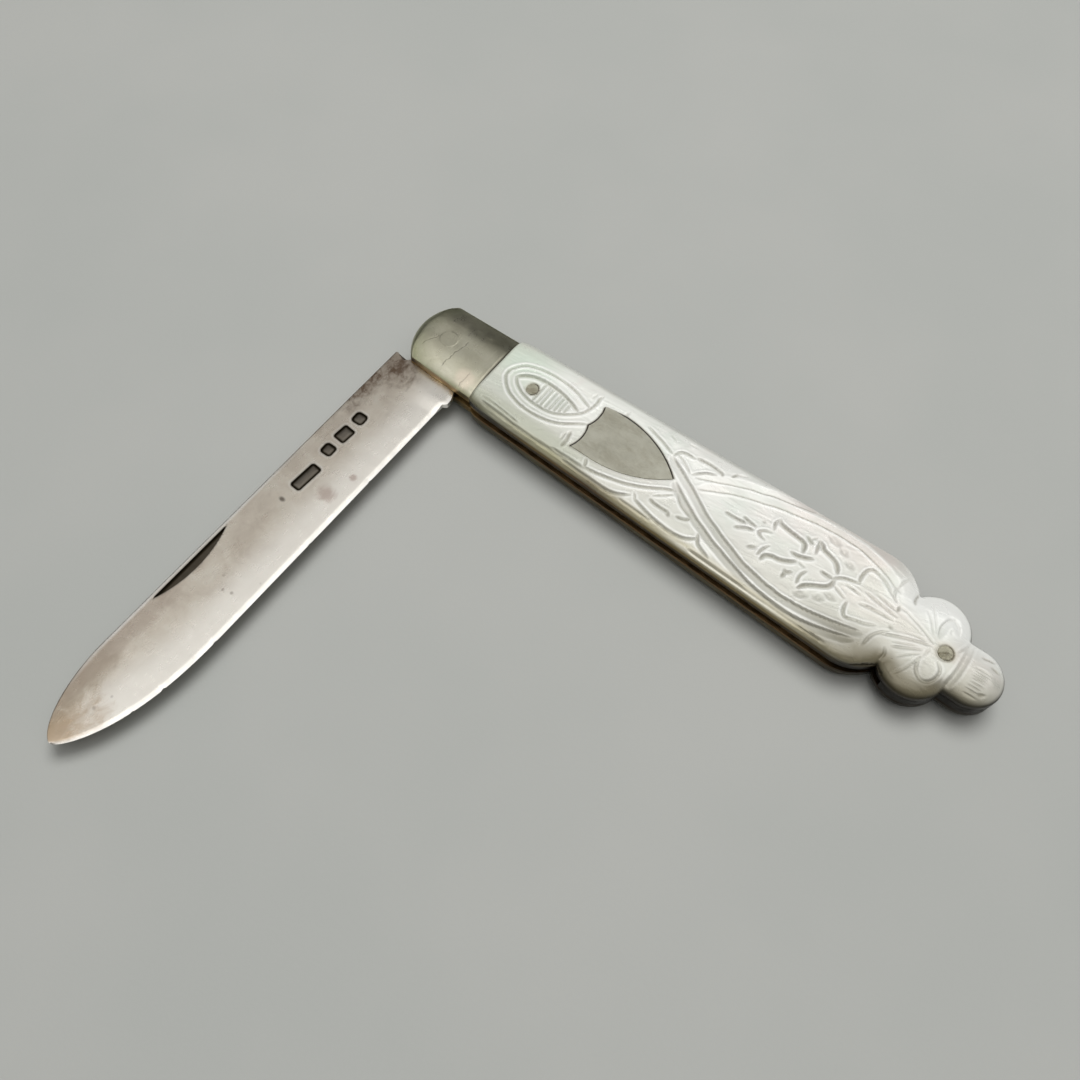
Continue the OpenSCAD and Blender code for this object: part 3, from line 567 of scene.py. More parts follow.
def blade_face(x, y, back, edge):
    """Half thickness of the blade at x, for rows y with their back and edge."""
    wide = edge - back
    t = (SPINE_T + (TIP_T - SPINE_T) * np.clip((y - SHOULDER_Y) / (BLADE_LEN - SHOULDER_Y), 0, 1) ** 1.4) / 2
    ground = ease(np.clip((y - KICK_Y) / 2.5, 0, 1))
    chamfer, bevel_w = np.minimum(0.16, wide / 6), np.minimum(BEVEL_W, wide / 3)
    ridge_t, ridge_x = t * (1 - 0.1 * ground), back + 0.45 * wide
    bevel_t = t + (ridge_t + (EDGE_T - ridge_t) * (edge - bevel_w - ridge_x) / (edge - ridge_x) * 0.92 - t) * ground
    edge_t = t * 0.85 + (EDGE_T / 4 - t * 0.85) * ground
    s = np.clip((x - back) / np.maximum(ridge_x - back, 1e-6), 0, 1)
    v = np.clip((x - ridge_x) / np.maximum(edge - bevel_w - ridge_x, 1e-6), 0, 1)
    body = t + (ridge_t - t) * s**1.5
    body = body + (bevel_t - ridge_t) * (0.45 * v + 0.55 * v * v)
    bevel = np.clip((x - edge + bevel_w) / np.maximum(bevel_w, 1e-6), 0, 1)
    body = body + (edge_t - bevel_t) * bevel
    return body - chamfer * (1 - rounded(x - back, chamfer))


def worn_corner(x, y):
    """The rows with the shoulder worn hollow beside the back's corner."""
    return y - np.interp(x, WORN_AT, WORN_DEEP) * np.clip(1 - (-y - SHOULDER_Y) / 1.6, 0, 1)


def make_blade(material):
    """The blade with its nick and marks, joined with its tang to one closed mesh."""
    ys = np.concatenate([
        np.linspace(SHOULDER_Y, KICK_END_Y + 0.3, 44)[:-1],
        np.linspace(KICK_END_Y + 0.3, BELLY_Y, 290)[:-1],
        BELLY_Y + BELLY_LEN * np.sin(np.radians(np.linspace(0, 86.9, 190)))])
    a, b = spine_x(ys)[:, None], edge_x(ys)[:, None]
    u = np.concatenate([[0, 0.0012, 0.003, 0.006, 0.0095], 0.0145 + 0.9855 * np.linspace(0, 1, 80)[:-1],
                        [0.9955, 1.0]])
    x = a + (b - a) * u[None]
    y = np.repeat(-ys[:, None], len(u), 1)
    low, dark, mark_rim_highlight = np.zeros((3, *x.shape))
    nick_r = (NICK_LEN**2 / 4 + NICK_W**2) / (2 * NICK_W)
    nick_x = -SPINE_OFF + NICK_OFF
    t = np.linspace(-1, 1, 50) * math.asin(NICK_LEN / 2 / nick_r)
    nick = np.c_[nick_x + NICK_W - nick_r + nick_r * np.cos(t), -NICK_Y + nick_r * np.sin(t)]
    for outline in (nick, *MARKS):
        x, y, inside = snap(x, y, lambda p, q: outline_sd(outline, p, q))
        sd, _, _ = outline_sd(outline, x, y)
        if outline is nick:
            across = np.clip((x - nick_x) / NICK_W, 0, 1)
            low = np.where(inside, NICK_RIM_D + (NICK_D - NICK_RIM_D) * across, low)
            # the nick is darkest along its wall by the back, a painted shade
            dark = np.where(inside, 1.6 - 0.6 * np.clip(across / 0.3, 0, 1), dark)
        else:
            middle = np.clip(-sd / 0.55, 0, 1)
            low = np.where(inside, MARK_D - 0.07 * middle * middle, low)
            dark = np.where(inside, 1.4 - 0.6 * np.clip(-sd / 0.4, 0, 1), dark)
            mark_rim_highlight = np.maximum(mark_rim_highlight, 0.55 * np.clip(1 - np.abs(sd - 0.22) / 0.15, 0, 1))
        dark = np.maximum(dark, 0.5 * np.clip(1 - np.abs(sd) / 0.12, 0, 1))
    front = np.stack([x, worn_corner(x, y), MID_Z + blade_face(x, -y, a, b) - low], -1)
    uu = np.concatenate([[0, 0.003, 0.0095], np.linspace(0.0145, 0.94, 20), [0.955, 0.97, 0.985, 1.0]])
    rx = a + (b - a) * uu[None]
    ry = np.repeat(-ys[:, None], len(uu), 1)
    rear = np.stack([rx, worn_corner(rx, ry), MID_Z - blade_face(rx, -ry, a, b)], -1)
    n, cf, cr = len(ys), len(u), len(uu)
    fi = np.arange(n * cf).reshape(n, cf)
    ri = n * cf + np.arange(n * cr).reshape(n, cr)
    faces = quads(fi) + [q[::-1] for q in quads(ri)]
    for i, j, turn in ((fi[:, 0], ri[:, 0], 1), (fi[:, -1], ri[:, -1], -1)):
        faces += [q[::turn] for q in np.stack([i[:-1], j[:-1], j[1:], i[1:]], -1).tolist()]
    faces += [fi[0].tolist() + ri[0, ::-1].tolist(), fi[-1, ::-1].tolist() + ri[-1].tolist()]
    # painted highlights: the bevel, a rim round the marks and the back along the nick are painted bright
    bevel = np.maximum(np.clip(1 - (b - x) / BEVEL_W, 0, 1), mark_rim_highlight)
    along = np.clip((-y - 20) / 10, 0, 1) * np.clip((60 + y) / 8, 0, 1)
    bevel = np.maximum(bevel, along * np.clip(1.6 - (x - a) / (NICK_OFF * 0.7), 0, 1))
    data = {"dark": np.concatenate([dark.ravel(), np.zeros(n * cr)]),
            "bevel": np.concatenate([bevel.ravel(), np.clip(1 - (b - rx) / BEVEL_W, 0, 1).ravel()])}
    obj = link("blade_body", np.vstack([front.reshape(-1, 3), rear.reshape(-1, 3)]), faces, material, data, 30)
    tang = make_tang(material)
    union = obj.modifiers.new("tang", "BOOLEAN")
    union.operation, union.solver, union.object = "UNION", "EXACT", tang
    mesh = bpy.data.meshes.new_from_object(obj.evaluated_get(bpy.context.evaluated_depsgraph_get()))
    bpy.data.objects.remove(tang)
    obj.modifiers.clear()
    obj.data = mesh
    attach(obj, "blade")
    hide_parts("blade")


def make_tang(material):
    """The plate between the liners: three flats with rounded corners, and the bore."""
    root = SHOULDER_Y + 0.3
    right = ((TANG_R + root * math.sin(CLOSED_LEAN)) / math.cos(CLOSED_LEAN), -root)
    top = (TANG_R * (1 - math.sin(CLOSED_LEAN)) / math.cos(CLOSED_LEAN), TANG_R)
    slope = (top[0] - right[0]) / (top[1] - right[1])
    ys = np.linspace(0, TANG_R, 400)
    right_y = ys[np.argmin(np.abs(np.hypot(top[0] + slope * (ys - top[1]), ys) - CORNER_R))]
    right_x = top[0] + slope * (right_y - top[1])
    corner = math.asin(TANG_R / CORNER_R)
    outer = [(-TANG_R, -root), right]
    for first, last in ((math.atan2(right_y, right_x), corner), (math.pi - corner, math.pi / 2 + corner)):
        outer += [(CORNER_R * math.cos(t), CORNER_R * math.sin(t)) for t in np.linspace(first, last, 8)]
    # the outline again, with as many points as the bore, each along the same ray
    n = 48
    turn = np.linspace(0, 2 * math.pi, n, endpoint=False)
    rays = np.c_[np.cos(turn), np.sin(turn)]
    closed = np.array(outer + [outer[0]])
    ring = np.zeros((n, 2))
    for i, ray in enumerate(rays):
        best = 99.0
        for p, q in zip(closed, closed[1:]):
            m = np.array([ray, p - q]).T
            if abs(np.linalg.det(m)) > 1e-9:
                k, s = np.linalg.solve(m, p)
                if k > 0 and -1e-9 <= s <= 1 + 1e-9:
                    best = min(best, k)
        ring[i] = ray * best
    for p in closed[:2]:
        ring[np.argmin(np.hypot(*(ring - p).T))] = p
    z0, z1 = MID_Z - SPRING_T / 2 + TANG_GAP, MID_Z + SPRING_T / 2 - TANG_GAP
    layers = (rays * BORE_R, z1), (ring, z1), (ring, z0), (rays * BORE_R, z0)
    verts = np.vstack([np.c_[p, np.full(n, z)] for p, z in layers])
    faces = []
    for k in range(4):
        m = (k + 1) % 4
        faces += [(k * n + i, m * n + i, m * n + (i + 1) % n, k * n + (i + 1) % n) for i in range(n)]
    return link("tang", verts, faces, material, {"dark": np.zeros(4 * n), "bevel": np.zeros(4 * n)}, 30)


# ---------------- materials
def rgb(r, g, b):
    """A linear colour for the 8-bit colour that it should look like."""
    return tuple((v / 255 / 12.92) if v < 10.3 else ((v / 255 + 0.055) / 1.055) ** 2.4 for v in (r, g, b))


class Nodes:
    """Short ways to add nodes to a tree. A value is a socket to link, a number, or a colour in 8 bits."""

    def __init__(self, tree):
        self.tree = tree

    def node(self, kind, **settings):
        node = self.tree.nodes.new("ShaderNode" + kind)
        for key, value in settings.items():
            setattr(node, key, value)
        return node

    def put(self, socket, value):
        if isinstance(value, bpy.types.NodeSocket):
            self.tree.links.new(value, socket)
        else:
            socket.default_value = (*rgb(*value), 1) if isinstance(value, tuple) else value

    def calc(self, operation, a, b=0, clamp=False):
        node = self.node("Math", operation=operation, use_clamp=clamp)
        self.put(node.inputs[0], a)
        self.put(node.inputs[1], b)
        return node.outputs["Value"]

    def times(self, first, *others):
        for other in others:
            first = self.calc("MULTIPLY", first, other)
        return first

    def fit(self, value, lo, hi, to_lo=0, to_hi=1):
        """Smoothly from to_lo where value is lo to to_hi where it is hi."""
        node = self.node("MapRange", interpolation_type="SMOOTHSTEP")
        for key, v in (("Value", value), ("From Min", lo), ("From Max", hi), ("To Min", to_lo), ("To Max", to_hi)):
            self.put(node.inputs[key], v)
        return node.outputs["Result"]


class Shade(Nodes):
    """A procedural material on one Principled shader, in the piece's own coordinates in millimetres."""

    def __init__(self, name, base=None, **values):
        self.material = bpy.data.materials.new(name)
        self.material.use_nodes = True
        super().__init__(self.material.node_tree)
        self.shader = self.tree.nodes["Principled BSDF"]
        for key, value in values.items():
            self.shader.inputs[key.replace("_", " ")].default_value = value
        self.place = self.node("TexCoord").outputs["Object"]
        self.base, self.rough, self.normal = base, None, None
        axes = self.node("SeparateXYZ")
        self.put(axes.inputs["Vector"], self.at())
        self.x, self.y, self.z = axes.outputs

    def at(self, stretch=(1, 1, 1), shift=(0, 0, 0), turn=(0, 0, 0)):
        """The place in millimetres, turned, then divided by stretch."""
        node = self.node("Mapping", vector_type="TEXTURE")
        self.put(node.inputs["Vector"], self.place)
        node.inputs["Location"].default_value = [s * MM for s in shift]
        node.inputs["Rotation"].default_value = [math.radians(t) for t in turn]
        node.inputs["Scale"].default_value = [s * MM for s in stretch]
        return node.outputs["Vector"]

    def noise(self, size, shift=(0, 0, 0), turn=(0, 0, 0), detail=3, rough=0.55, warp=0):
        """Noise with features of the given size, a number or three."""
        size = (size,) * 3 if isinstance(size, (int, float)) else size
        node = self.node("TexNoise")
        self.put(node.inputs["Vector"], self.at(size, shift, turn))
        for key, value in (("Scale", 1), ("Detail", detail), ("Roughness", rough), ("Distortion", warp)):
            node.inputs[key].default_value = value
        return node.outputs["Fac"]

    def ramp(self, fac, *stops):
        """Colours in 8 bits, each after its place along fac."""
        node = self.node("ValToRGB")
        while len(node.color_ramp.elements) < len(stops):
            node.color_ramp.elements.new(1)
        for element, (at, *colour) in zip(node.color_ramp.elements, stops):
            element.position = at
            element.color = (*rgb(*colour), 1)
        self.put(node.inputs["Fac"], fac)
        return node.outputs["Color"]

    def over(self, colour, *shares):
        """Lays a colour over the base, as much as the product of the shares says."""
        node = self.node("Mix", data_type="RGBA")
        for k, value in ((0, self.times(*shares)), (6, self.base), (7, colour)):
            self.put(node.inputs[k], value)
        self.base = node.outputs[2]

    def attribute(self, name):
        return self.node("Attribute", attribute_name=name).outputs["Fac"]

    def spot(self, x, y, rx, ry, noise, amount):
        """1 in the middle of an ellipse in the plane, fading to 0 at its rim, broken up by noise."""
        dx = self.calc("DIVIDE", self.calc("SUBTRACT", self.x, x), rx)
        dy = self.calc("DIVIDE", self.calc("SUBTRACT", self.y, y), ry)
        d = self.calc("SQRT", self.calc("ADD", self.times(dx, dx), self.times(dy, dy)))
        return self.fit(self.calc("ADD", d, self.times(self.calc("SUBTRACT", noise, 0.5), amount * 2)), 1, 0.25)

    def bump(self, height, depth):
        """Adds bump of the given depth for a height from 0 to 1."""
        node = self.node("Bump")
        node.inputs["Strength"].default_value = 1.0
        node.inputs["Distance"].default_value = depth * MM
        self.put(node.inputs["Height"], height)
        if self.normal is not None:
            self.put(node.inputs["Normal"], self.normal)
        self.normal = node.outputs["Normal"]

    def dull(self, *shares):
        """Adds to the roughness."""
        self.rough = self.calc("ADD", self.rough, self.times(*shares), clamp=True)

    def done(self):
        for key, value in (("Base Color", self.base), ("Roughness", self.rough), ("Normal", self.normal)):
            self.put(self.shader.inputs[key], value)
        return self.material


def pearl():
    s = Shade("mother_of_pearl", IOR=1.6, Metallic=0.24, Coat_Weight=0.5, Coat_Roughness=0.09, Coat_IOR=1.55)
    x, y, z = s.x, s.y, s.z
    length = s.calc("DIVIDE", x, 76)
    s.base = s.ramp(length, (0.08, 214, 219, 204), (0.14, 229, 234, 221), (0.2, 246, 248, 240), (0.5, 245, 245, 239),
                    (0.6, 234, 234, 228), (0.72, 229, 228, 220), (0.8, 226, 224, 213), (0.9, 218, 216, 206),
                    (1, 198, 197, 187))
    # pink and green clouds, and the layers of the shell
    cloud = s.noise((9, 5, 5), (3, 1, 0), (0, 0, 12), 4, 0.55, 0.8)
    s.over((244, 232, 226), s.fit(cloud, 0.4, 0.72, 0, 0.35))
    cloud = s.noise((6, 3.5, 5), (40, 7, 0), (0, 0, -10), 4, 0.55, 0.8)
    s.over((212, 224, 211), s.fit(cloud, 0.42, 0.72, 0, 0.4))
    layers = s.noise((14, 0.9, 0.9), (0, 0, 5), (0, 8, 5), 3, 0.5, 1.6)
    s.over((202, 203, 192), s.fit(layers, 0.48, 0.72, 0, 0.22))
    s.over((252, 234, 228), s.spot(54, 6, 11, 3.2, cloud, 0.3), 0.2)
    s.over((212, 228, 211), s.spot(10.5, 2.6, 5.5, 3.6, cloud, 0.3), 0.45)
    # painted highlight: the far side of the butt painted lighter
    s.over((252, 253, 249), s.fit(y, 0.5, 4), s.fit(x, 58, 64, 0, 0.9))
    # a greenish tint that is also painted shade, on the near side by the bolster
    s.over((192, 203, 189), s.spot(12.5, -2.4, 9, 3.4, cloud, 0.2), 0.7)
    # painted shade along the far edge between x 42 and 63
    s.over((202, 196, 190), s.fit(y, 5, 6.6), s.fit(x, 42, 53), s.fit(x, 63, 59), 0.6)
    # painted shade: darker towards the near side
    s.over((212, 211, 200), s.fit(y, 2.2, -4.8, 0, 0.85))
    # painted highlight on the raised lips beside the carving and along the shield's near side
    s.over((253, 253, 248), s.attribute("lip"), 0.7)
    # painted shade on the near side, along its rim and round the butt, and a painted highlight as a bright crest near
    # the near rim; the far rim in front painted grey, a painted shade
    rim = s.calc("SUBTRACT", s.attribute("rim"), s.fit(x, 58, 66, 0, 0.35))
    near_side_shade = s.ramp(length, (0.115, 96, 92, 60), (0.15, 180, 178, 152), (0.26, 180, 174, 134), (0.34, 126, 112, 68),
                  (0.44, 188, 178, 140), (0.72, 186, 176, 138), (0.86, 108, 98, 74))
    s.over((188, 191, 173), s.fit(y, -2.4, -3.9), s.fit(x, 28, 20), s.fit(cloud, 0.2, 0.8, 0.95, 0.75))
    s.over(near_side_shade, s.fit(y, -1, -4), s.fit(rim, 0.6, 0.05), 0.85)
    s.over((248, 245, 230), s.fit(rim, 0.26, 0.14), s.fit(rim, 0.01, 0.07), s.fit(y, -2, -4),
           s.fit(x, 34, 41), s.fit(x, 55, 50), 0.8)
    s.over((178, 179, 172), s.fit(y, 1, 4), s.fit(rim, 0.42, 0.14), s.fit(x, 48, 38, 0, 0.75))
    s.over((120, 113, 90), s.fit(y, -1.2, -5.3), s.fit(x, 51, 63), s.fit(cloud, 0.2, 0.8, 0.98, 0.85))
    s.over((140, 134, 112), s.fit(y, 1, -3.2), s.fit(x, 69.5, 72), s.fit(cloud, 0.2, 0.8, 0.85, 0.6))
    # the sawn sides, olive and brown, and matt; painted shade on them: near black towards the butt and by the bolster,
    # darker at the foot of the front scale's side, and dark all along the rear scale's side
    streak = s.noise((5, 2, 0.5), (11, 0, 0), detail=3)
    side = s.ramp(length, (0.12, 40, 32, 12), (0.16, 64, 52, 16), (0.22, 124, 97, 32), (0.29, 112, 80, 18),
                  (0.34, 88, 60, 14), (0.45, 142, 120, 68), (0.68, 150, 130, 84), (0.765, 88, 74, 40),
                  (0.8, 30, 26, 16), (0.88, 66, 60, 44), (0.95, 32, 28, 20))
    rear_side_shade = s.ramp(length, (0.1, 84, 76, 56), (0.76, 76, 68, 50), (0.84, 18, 16, 12))
    wall = s.times(s.fit(z, FRONT_Z + 1.2, FRONT_Z + 0.65), s.fit(z, FRONT_Z - 0.5, FRONT_Z - 0.2))
    rear_wall = s.times(s.fit(z, -0.1, 0.5), s.fit(z, SCALE_T + 0.4, SCALE_T + 0.1))
    s.over(side, wall, s.fit(streak, 0.3, 0.7, 0.85, 1))
    # painted shade at the foot of the front scale's side
    s.over((32, 21, 6), wall, s.fit(z, FRONT_Z + 0.5, FRONT_Z + 0.1, 0, 0.85))
    s.over(rear_side_shade, rear_wall, s.fit(streak, 0.3, 0.7, 0.8, 1))
    matt = s.calc("MAXIMUM", wall, rear_wall)
    s.put(s.shader.inputs["Coat Weight"], s.fit(matt, 0, 1, 0.5, 0.04))
    s.put(s.shader.inputs["Specular IOR Level"], s.fit(matt, 0, 1, 0.5, 0.12))
    # dirt and painted shade in the carving, painted shade in the pockets and as darker rings round the pins and the
    # shield, and stains round the pins
    dirt_and_shade = s.attribute("dirt_and_shade")
    speck = s.noise(0.3, detail=2, rough=0.6)
    s.over((132, 127, 110), s.calc("MULTIPLY", dirt_and_shade, s.fit(speck, 0.25, 0.6, 0.65, 1), clamp=True), 0.8)
    # near black where the painted shadow of the rings is deepest, and in the dark joint by the bolster and the dots
    s.over((48, 42, 33), s.fit(dirt_and_shade, 1, 1.3))
    # painted shade in the pockets under the pins and the shield
    s.over((52, 42, 30), s.attribute("deep"))
    tail_stain = s.spot(TAIL_PIN_X, CENTRE_OFF, 1.7, 1.7, cloud, 0.3)
    s.over((176, 166, 134), s.calc("MAXIMUM", tail_stain, s.spot(SCALE_PIN_X, CENTRE_OFF, 1.3, 1.2, cloud, 0.3)), 0.35)
    s.rough = s.fit(s.noise((3, 2, 2), (9, 0, 0), detail=3), 0.3, 0.7, 0.24, 0.4)
    s.dull(dirt_and_shade, 0.3)
    s.bump(s.noise((6, 1.6, 1.6), (2, 2, 5), (0, 8, 5), 3, 0.5, 1.4), 0.12)
    s.bump(s.noise((1.4, 0.6, 0.6), (7, 2, 1), detail=3), 0.018)
    s.bump(s.noise((2.5, 0.09, 0.3), (0, 0, 0), (0, 0, 20), 2, 0.6), 0.002)
    return s.done()


def metal(name, tones, rough, scratches, deep):
    """Worn metal: three tones mixed by soft noise, and fine scratches, each set with its turn, length and width."""
    s = Shade(name, Metallic=1)
    s.cloud = s.noise(3.2, (1, 5, 2), detail=5, rough=0.6, warp=0.6)
    s.base = s.ramp(s.cloud, *((at, *tone) for at, tone in zip((0.3, 0.52, 0.75), tones)))
    marks = 0.0
    for k, (turn, length, width) in enumerate(scratches):
        lines = s.noise((length, width, width), (k * 3.3, k * 1.7, 0), (0, 0, turn), 2, 0.6, 0.15)
        lines = s.fit(lines, 0.56, 0.68)
        marks = s.calc("MAXIMUM", marks, lines)
        s.bump(s.calc("SUBTRACT", 1, lines), deep)
    s.over(tones[0], marks, 0.16)
    s.rough = s.fit(s.noise(1.4, (8, 3, 4), detail=4, rough=0.65), 0.3, 0.7, *rough)
    s.dull(marks, 0.08)
    s.bump(s.noise((6, 4, 4), (2, 2, 2), detail=2), 0.05)
    return s


def silver():
    s = metal("silver", ((204, 193, 179), (222, 213, 199), (232, 226, 214)), (0.24, 0.36),
              ((90, 14, 0.12), (74, 9, 0.1), (101, 6, 0.07), (20, 3, 0.09)), 0.0022)
    # painted sheen: the blade painted lighter towards its edge and, past y -44, towards the tip
    across = s.calc("ADD", s.x, s.times(s.fit(s.y, -44, -64), 2.6))
    s.over((250, 246, 238), s.fit(across, -1.6, 2.6), 0.85)
    # brown oxide at the shoulder, the tip and the back, and small spots
    grime = s.noise((1.6, 2.6, 1.6), (4, 9, 0), detail=6, rough=0.7, warp=0.8)
    brown = s.calc("MAXIMUM", s.spot(-4.2, -5.9, 5, 4.2, grime, 0.75), s.spot(-5.2, -10, 2.6, 7.5, grime, 0.8))
    blots = s.fit(s.noise((1, 1.5, 1), (9, 2, 0), (0, 0, 25), 8, 0.75, 0.5), 0.42, 0.6, 0.5, 1)
    s.over((104, 82, 64), brown, blots, 0.9)
    s.over((168, 138, 98), s.spot(-1.5, -65.5, 6, 9.5, grime, 0.6), 0.7)
    s.over((176, 164, 146), s.spot(-3.6, -58.5, 2.4, 8, grime, 0.5), 0.7)
    s.over((168, 150, 136), s.spot(-4.4, -54, 2.6, 17, grime, 0.6), 0.4)
    smudge = s.calc("MAXIMUM", s.spot(1.6, -25, 1.7, 1.5, grime, 0.6), s.spot(2.6, -21.4, 0.7, 0.6, grime, 0.4))
    s.over((158, 126, 112), smudge, 0.5)
    s.over((92, 82, 72), s.spot(-2.1, -28.7, 0.6, 0.4, grime, 0.5), 0.8)
    cells = s.node("TexVoronoi")
    s.put(cells.inputs["Scale"], 1)
    s.put(cells.inputs["Vector"], s.at((1.9, 1.9, 1.9), (3, 3, 0)))
    s.over((120, 104, 94), s.fit(cells.outputs["Distance"], 0.16, 0.06), s.fit(s.noise(7, (5, 0, 3)), 0.5, 0.62), 0.45)
    # painted highlight on the bevel, the rims round the marks and the back along the nick, then the dark nick and
    # marks; the nick is painted near black along its wall by the back, a painted shade
    dark = s.attribute("dark")
    s.over((250, 248, 243), s.attribute("bevel"), 0.85)
    s.over((46, 40, 29), dark, 0.93)
    s.over((12, 9, 4), s.fit(dark, 1, 1.5))
    s.dull(s.calc("MAXIMUM", brown, dark), 0.2)
    return s.done()


def bolster_metal():
    s = metal("bolster_metal", ((196, 192, 170), (212, 209, 188), (220, 217, 199)), (0.26, 0.4),
              ((90, 5, 0.1), (78, 3, 0.09), (118, 2, 0.08), (8, 2.5, 0.1)), 0.003)
    x, y, z = s.x, s.y, s.z
    # three wandering hairlines
    wander = s.calc("SUBTRACT", s.times(s.noise((1.2, 0.9, 1), (3, 1, 0), detail=4), 0.9), 0.45)
    hair = 0.0
    for at, slope, low, high in ((2.1, 0.14, -3.4, 1), (-1.2, 0.5, -2.4, -0.4), (5.4, 0.1, -4.3, -2.4)):
        off = s.calc("SUBTRACT", s.calc("SUBTRACT", x, s.times(y, slope)), at)
        line = s.fit(s.calc("ABSOLUTE", s.calc("SUBTRACT", off, wander)), 0.085, 0.03)
        line = s.times(line, s.fit(y, low - 0.3, low + 0.2), s.fit(y, high + 0.3, high - 0.2))
        hair = s.calc("MAXIMUM", hair, line)
    s.over((104, 98, 78), hair, 0.55)
    s.over((46, 42, 34), s.fit(s.attribute("joint"), 0.35, 1), 0.8)
    # painted highlight on the near side
    s.over((240, 226, 208), s.spot(5.2, -3.2, 2, 1.5, s.cloud, 0.6), 0.6)
    # painted reflection: the sides and the nose's rim darker and olive
    s.over((134, 137, 104), s.attribute("edge"), 0.75)
    # painted shade: the far side darker and olive
    s.over((116, 114, 88), s.fit(y, 0.6, 4.6), s.fit(x, -1.5, 3.5), 0.55)
    # painted shade on the low side walls: golden brown, near black by the nose
    low = s.times(s.fit(z, FRONT_Z + 1, FRONT_Z + 0.4), s.fit(z, SCALE_T - 1, SCALE_T - 0.4))
    s.over((132, 100, 50), low, s.fit(s.cloud, 0.35, 0.65, 0.5, 0.95))
    s.over((34, 26, 14), low, s.fit(x, -1.2, -2.4, 0, 0.9))
    s.bump(s.calc("SUBTRACT", 1, hair), 0.012)
    return s.done()


def plain_metal(name, tones, rough, scratches, deep, stain, amount, *shade_along_handle):
    """Worn metal with stains, and with painted shade along the handle: its colour, where it starts and where it is
    full.
    """
    s = metal(name, tones, rough, scratches, deep)
    patch = s.noise((2.2, 1.2, 0.8), (3, 8, 1), detail=6, rough=0.7, warp=0.5)
    s.over(stain, s.fit(patch, 0.42, 0.68, 0, amount))
    s.dull(s.fit(patch, 0.42, 0.68, 0, 0.15))
    for colour, start, full in shade_along_handle:
        s.over(colour, s.fit(s.x, start, full, 0, 0.88))
    return s.done()


# painted shade: the brass darker from x 7 to 10 on and near black towards the butt
def brass(name, shade_along_handle):
    return plain_metal(name, ((132, 104, 58), (176, 146, 92), (196, 168, 112)), (0.3, 0.5),
                       ((0, 8, 0.1), (12, 5, 0.08)), 0.004, (92, 68, 36), 0.7,
                       (shade_along_handle, 7, 10), ((16, 13, 9), 56, 62))


def pin(name, tones, rough, deep, stain, amount):
    return plain_metal(name, tones, rough, ((15, 1.5, 0.06), (75, 1.2, 0.06)), deep, stain, amount)


# ---------------- pieces
pearl_mat, silver_mat, bolster_mat = pearl(), silver(), bolster_metal()
shield_mat = plain_metal("shield_silver", ((202, 200, 184), (214, 212, 196), (222, 221, 206)), (0.34, 0.46),
                         ((18, 5, 0.07), (-30, 4, 0.07), (80, 3, 0.06)), 0.003, (176, 168, 146), 0.3)
pin_mat = pin("pin_metal", ((190, 188, 166), (216, 213, 192), (232, 230, 212)), (0.34, 0.5), 0.008,
              (140, 124, 92), 0.45)
# the liners and the spring are painted dark along the handle, painted shade in the slot and at the butt
NODE_MATERIALS = {
    "front_liner": brass("liner_brass", (40, 32, 20)),
    "rear_liner": brass("rear_liner_brass", (128, 100, 66)),
    "backspring": plain_metal("spring_steel", ((112, 108, 102), (140, 136, 128), (160, 156, 148)), (0.3, 0.48),
                              ((0, 6, 0.09), (90, 2, 0.08)), 0.005, (88, 70, 52), 0.5, ((16, 14, 11), 56, 62)),
    "shield": shield_mat, "shield_pin_left": shield_mat, "shield_pin_right": shield_mat,
    "pivot_pin": bolster_mat, "spring_pin": pin_mat, "front_scale_pin": pin_mat, "rear_scale_pin": pin_mat,
    "tail_pin": pin("tail_pin_metal", ((176, 172, 148), (206, 202, 180), (226, 222, 202)), (0.36, 0.52), 0.01,
                    (108, 98, 70), 0.7),
}
for name, material in NODE_MATERIALS.items():
    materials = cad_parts[name].data.materials
    materials.clear()
    materials.append(material)

make_scale("front_scale_carved", pearl_mat, True, 0.112, 126)
make_scale("rear_scale_carved", pearl_mat, False, 0.15, 90)
make_bolster("front_bolster_worn", bolster_mat, True)
make_bolster("rear_bolster_worn", bolster_mat, False)
make_blade(silver_mat)

# ---------------- floor, light and camera
scene = bpy.context.scene
shade = Shade("floor", (171, 173, 169), Specular_IOR_Level=0.25)
grain = shade.noise(0.5, detail=2)
shade.over((175, 176, 172), shade.fit(shade.noise(40, detail=3), 0.3, 0.7))
shade.rough = shade.fit(grain, 0.3, 0.7, 0.5, 0.6)
shade.bump(grain, 0.01)
FAR = 3000
floor = link("floor", [(-FAR, -FAR, 0), (FAR, -FAR, 0), (FAR, FAR, 0), (-FAR, FAR, 0)], [(0, 1, 2, 3)],
             shade.done(), {}, 30)

world = bpy.data.worlds.new("studio")
scene.world = world
world.use_nodes = True
sky = Nodes(world.node_tree)
outward = sky.node("TexCoord").outputs["Generated"]
rays = sky.node("LightPath").outputs


def glow(direction, lo, hi, strength):
    """A soft patch of light round a direction of the sky, from the cosine lo at its rim to hi in its middle."""
    dot = sky.node("VectorMath", operation="DOT_PRODUCT")
    sky.put(dot.inputs[0], outward)
    dot.inputs[1].default_value = Vector(direction).normalized()
    return sky.fit(dot.outputs["Value"], lo, hi, 0, strength)


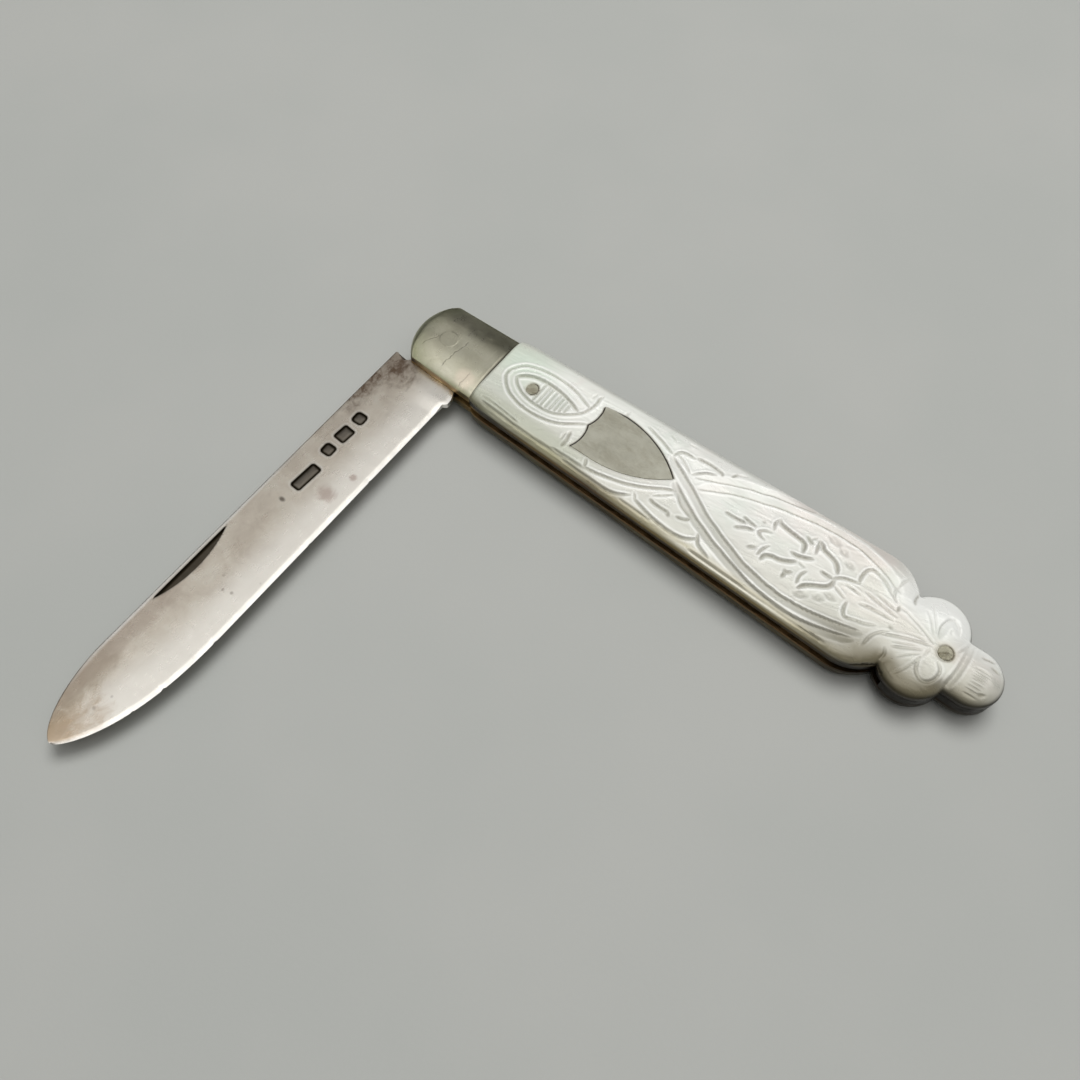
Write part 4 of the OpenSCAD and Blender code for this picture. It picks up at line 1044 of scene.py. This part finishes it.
# two soft boxes overhead, and a white card on the near side that only the metal shows
light = sky.calc("ADD", glow((0, 0, 1), 0.62, 1, 0.7), 0.12)
light = sky.calc("ADD", light, glow((0.3, 0.1, 0.95), 0.75, 1, 0.6))
light = sky.calc("ADD", light, sky.times(glow((-0.3, -0.5, 0.81), 0.82, 1, 0.6), rays["Is Glossy Ray"]))
# the plain backdrop past the floor's end, and below the floor what the metal shows of it
light = sky.calc("MAXIMUM", light, sky.times(rays["Is Camera Ray"], 0.27))
light = sky.calc("MAXIMUM", light, sky.times(glow((0, 0, -1), -0.2, -0.05, 0.4), rays["Is Glossy Ray"]))
back = world.node_tree.nodes["Background"]
sky.put(back.inputs["Strength"], light)
back.inputs["Color"].default_value = (1, 0.995, 0.98, 1)

KEY_PLACE, KEY_AIM = Vector((-0.021, 0.170, 0.564)), Vector((0.033, -0.028, 0))
data = bpy.data.lights.new("key", "AREA")
data.shape, data.size, data.energy = "DISK", 0.34, 2.2
key = bpy.data.objects.new("key", data)
key.location = KEY_PLACE
key.rotation_mode = "QUATERNION"
key.rotation_quaternion = (KEY_AIM - KEY_PLACE).to_track_quat("-Z", "Y")
key.visible_glossy = False
scene.collection.objects.link(key)

# the photo's camera, solved from the outlines of handle and blade
CAMERA_PLACE = (55.98, -55.03, 107.34)
CAMERA_FORWARD, CAMERA_RIGHT = (-0.2644, 0.3496, -0.8988), (0.7976, 0.6031, 0)
# the photo's knife is opened a little past the square half stop; the view shares that out between the two halves
SHARED_TURN = math.radians(0.32)
data = bpy.data.cameras.new("camera")
data.lens, data.sensor_width, data.clip_start = 33.33, 36, 0.005
camera = bpy.data.objects.new("camera", data)
scene.collection.objects.link(camera)
forward, right = Vector(CAMERA_FORWARD).normalized(), Vector(CAMERA_RIGHT).normalized()
turn = Matrix((right, right.cross(forward), -forward)).transposed()
about = Matrix.Translation((SCALE_PIN_X * MM, 0, 0))
camera.matrix_world = (about @ Matrix.Rotation(SHARED_TURN, 4, "Z") @ about.inverted()
                       @ Matrix.Translation(Vector(CAMERA_PLACE) * MM) @ turn.to_4x4())
scene.camera = camera
scene.view_settings.view_transform = "Standard"
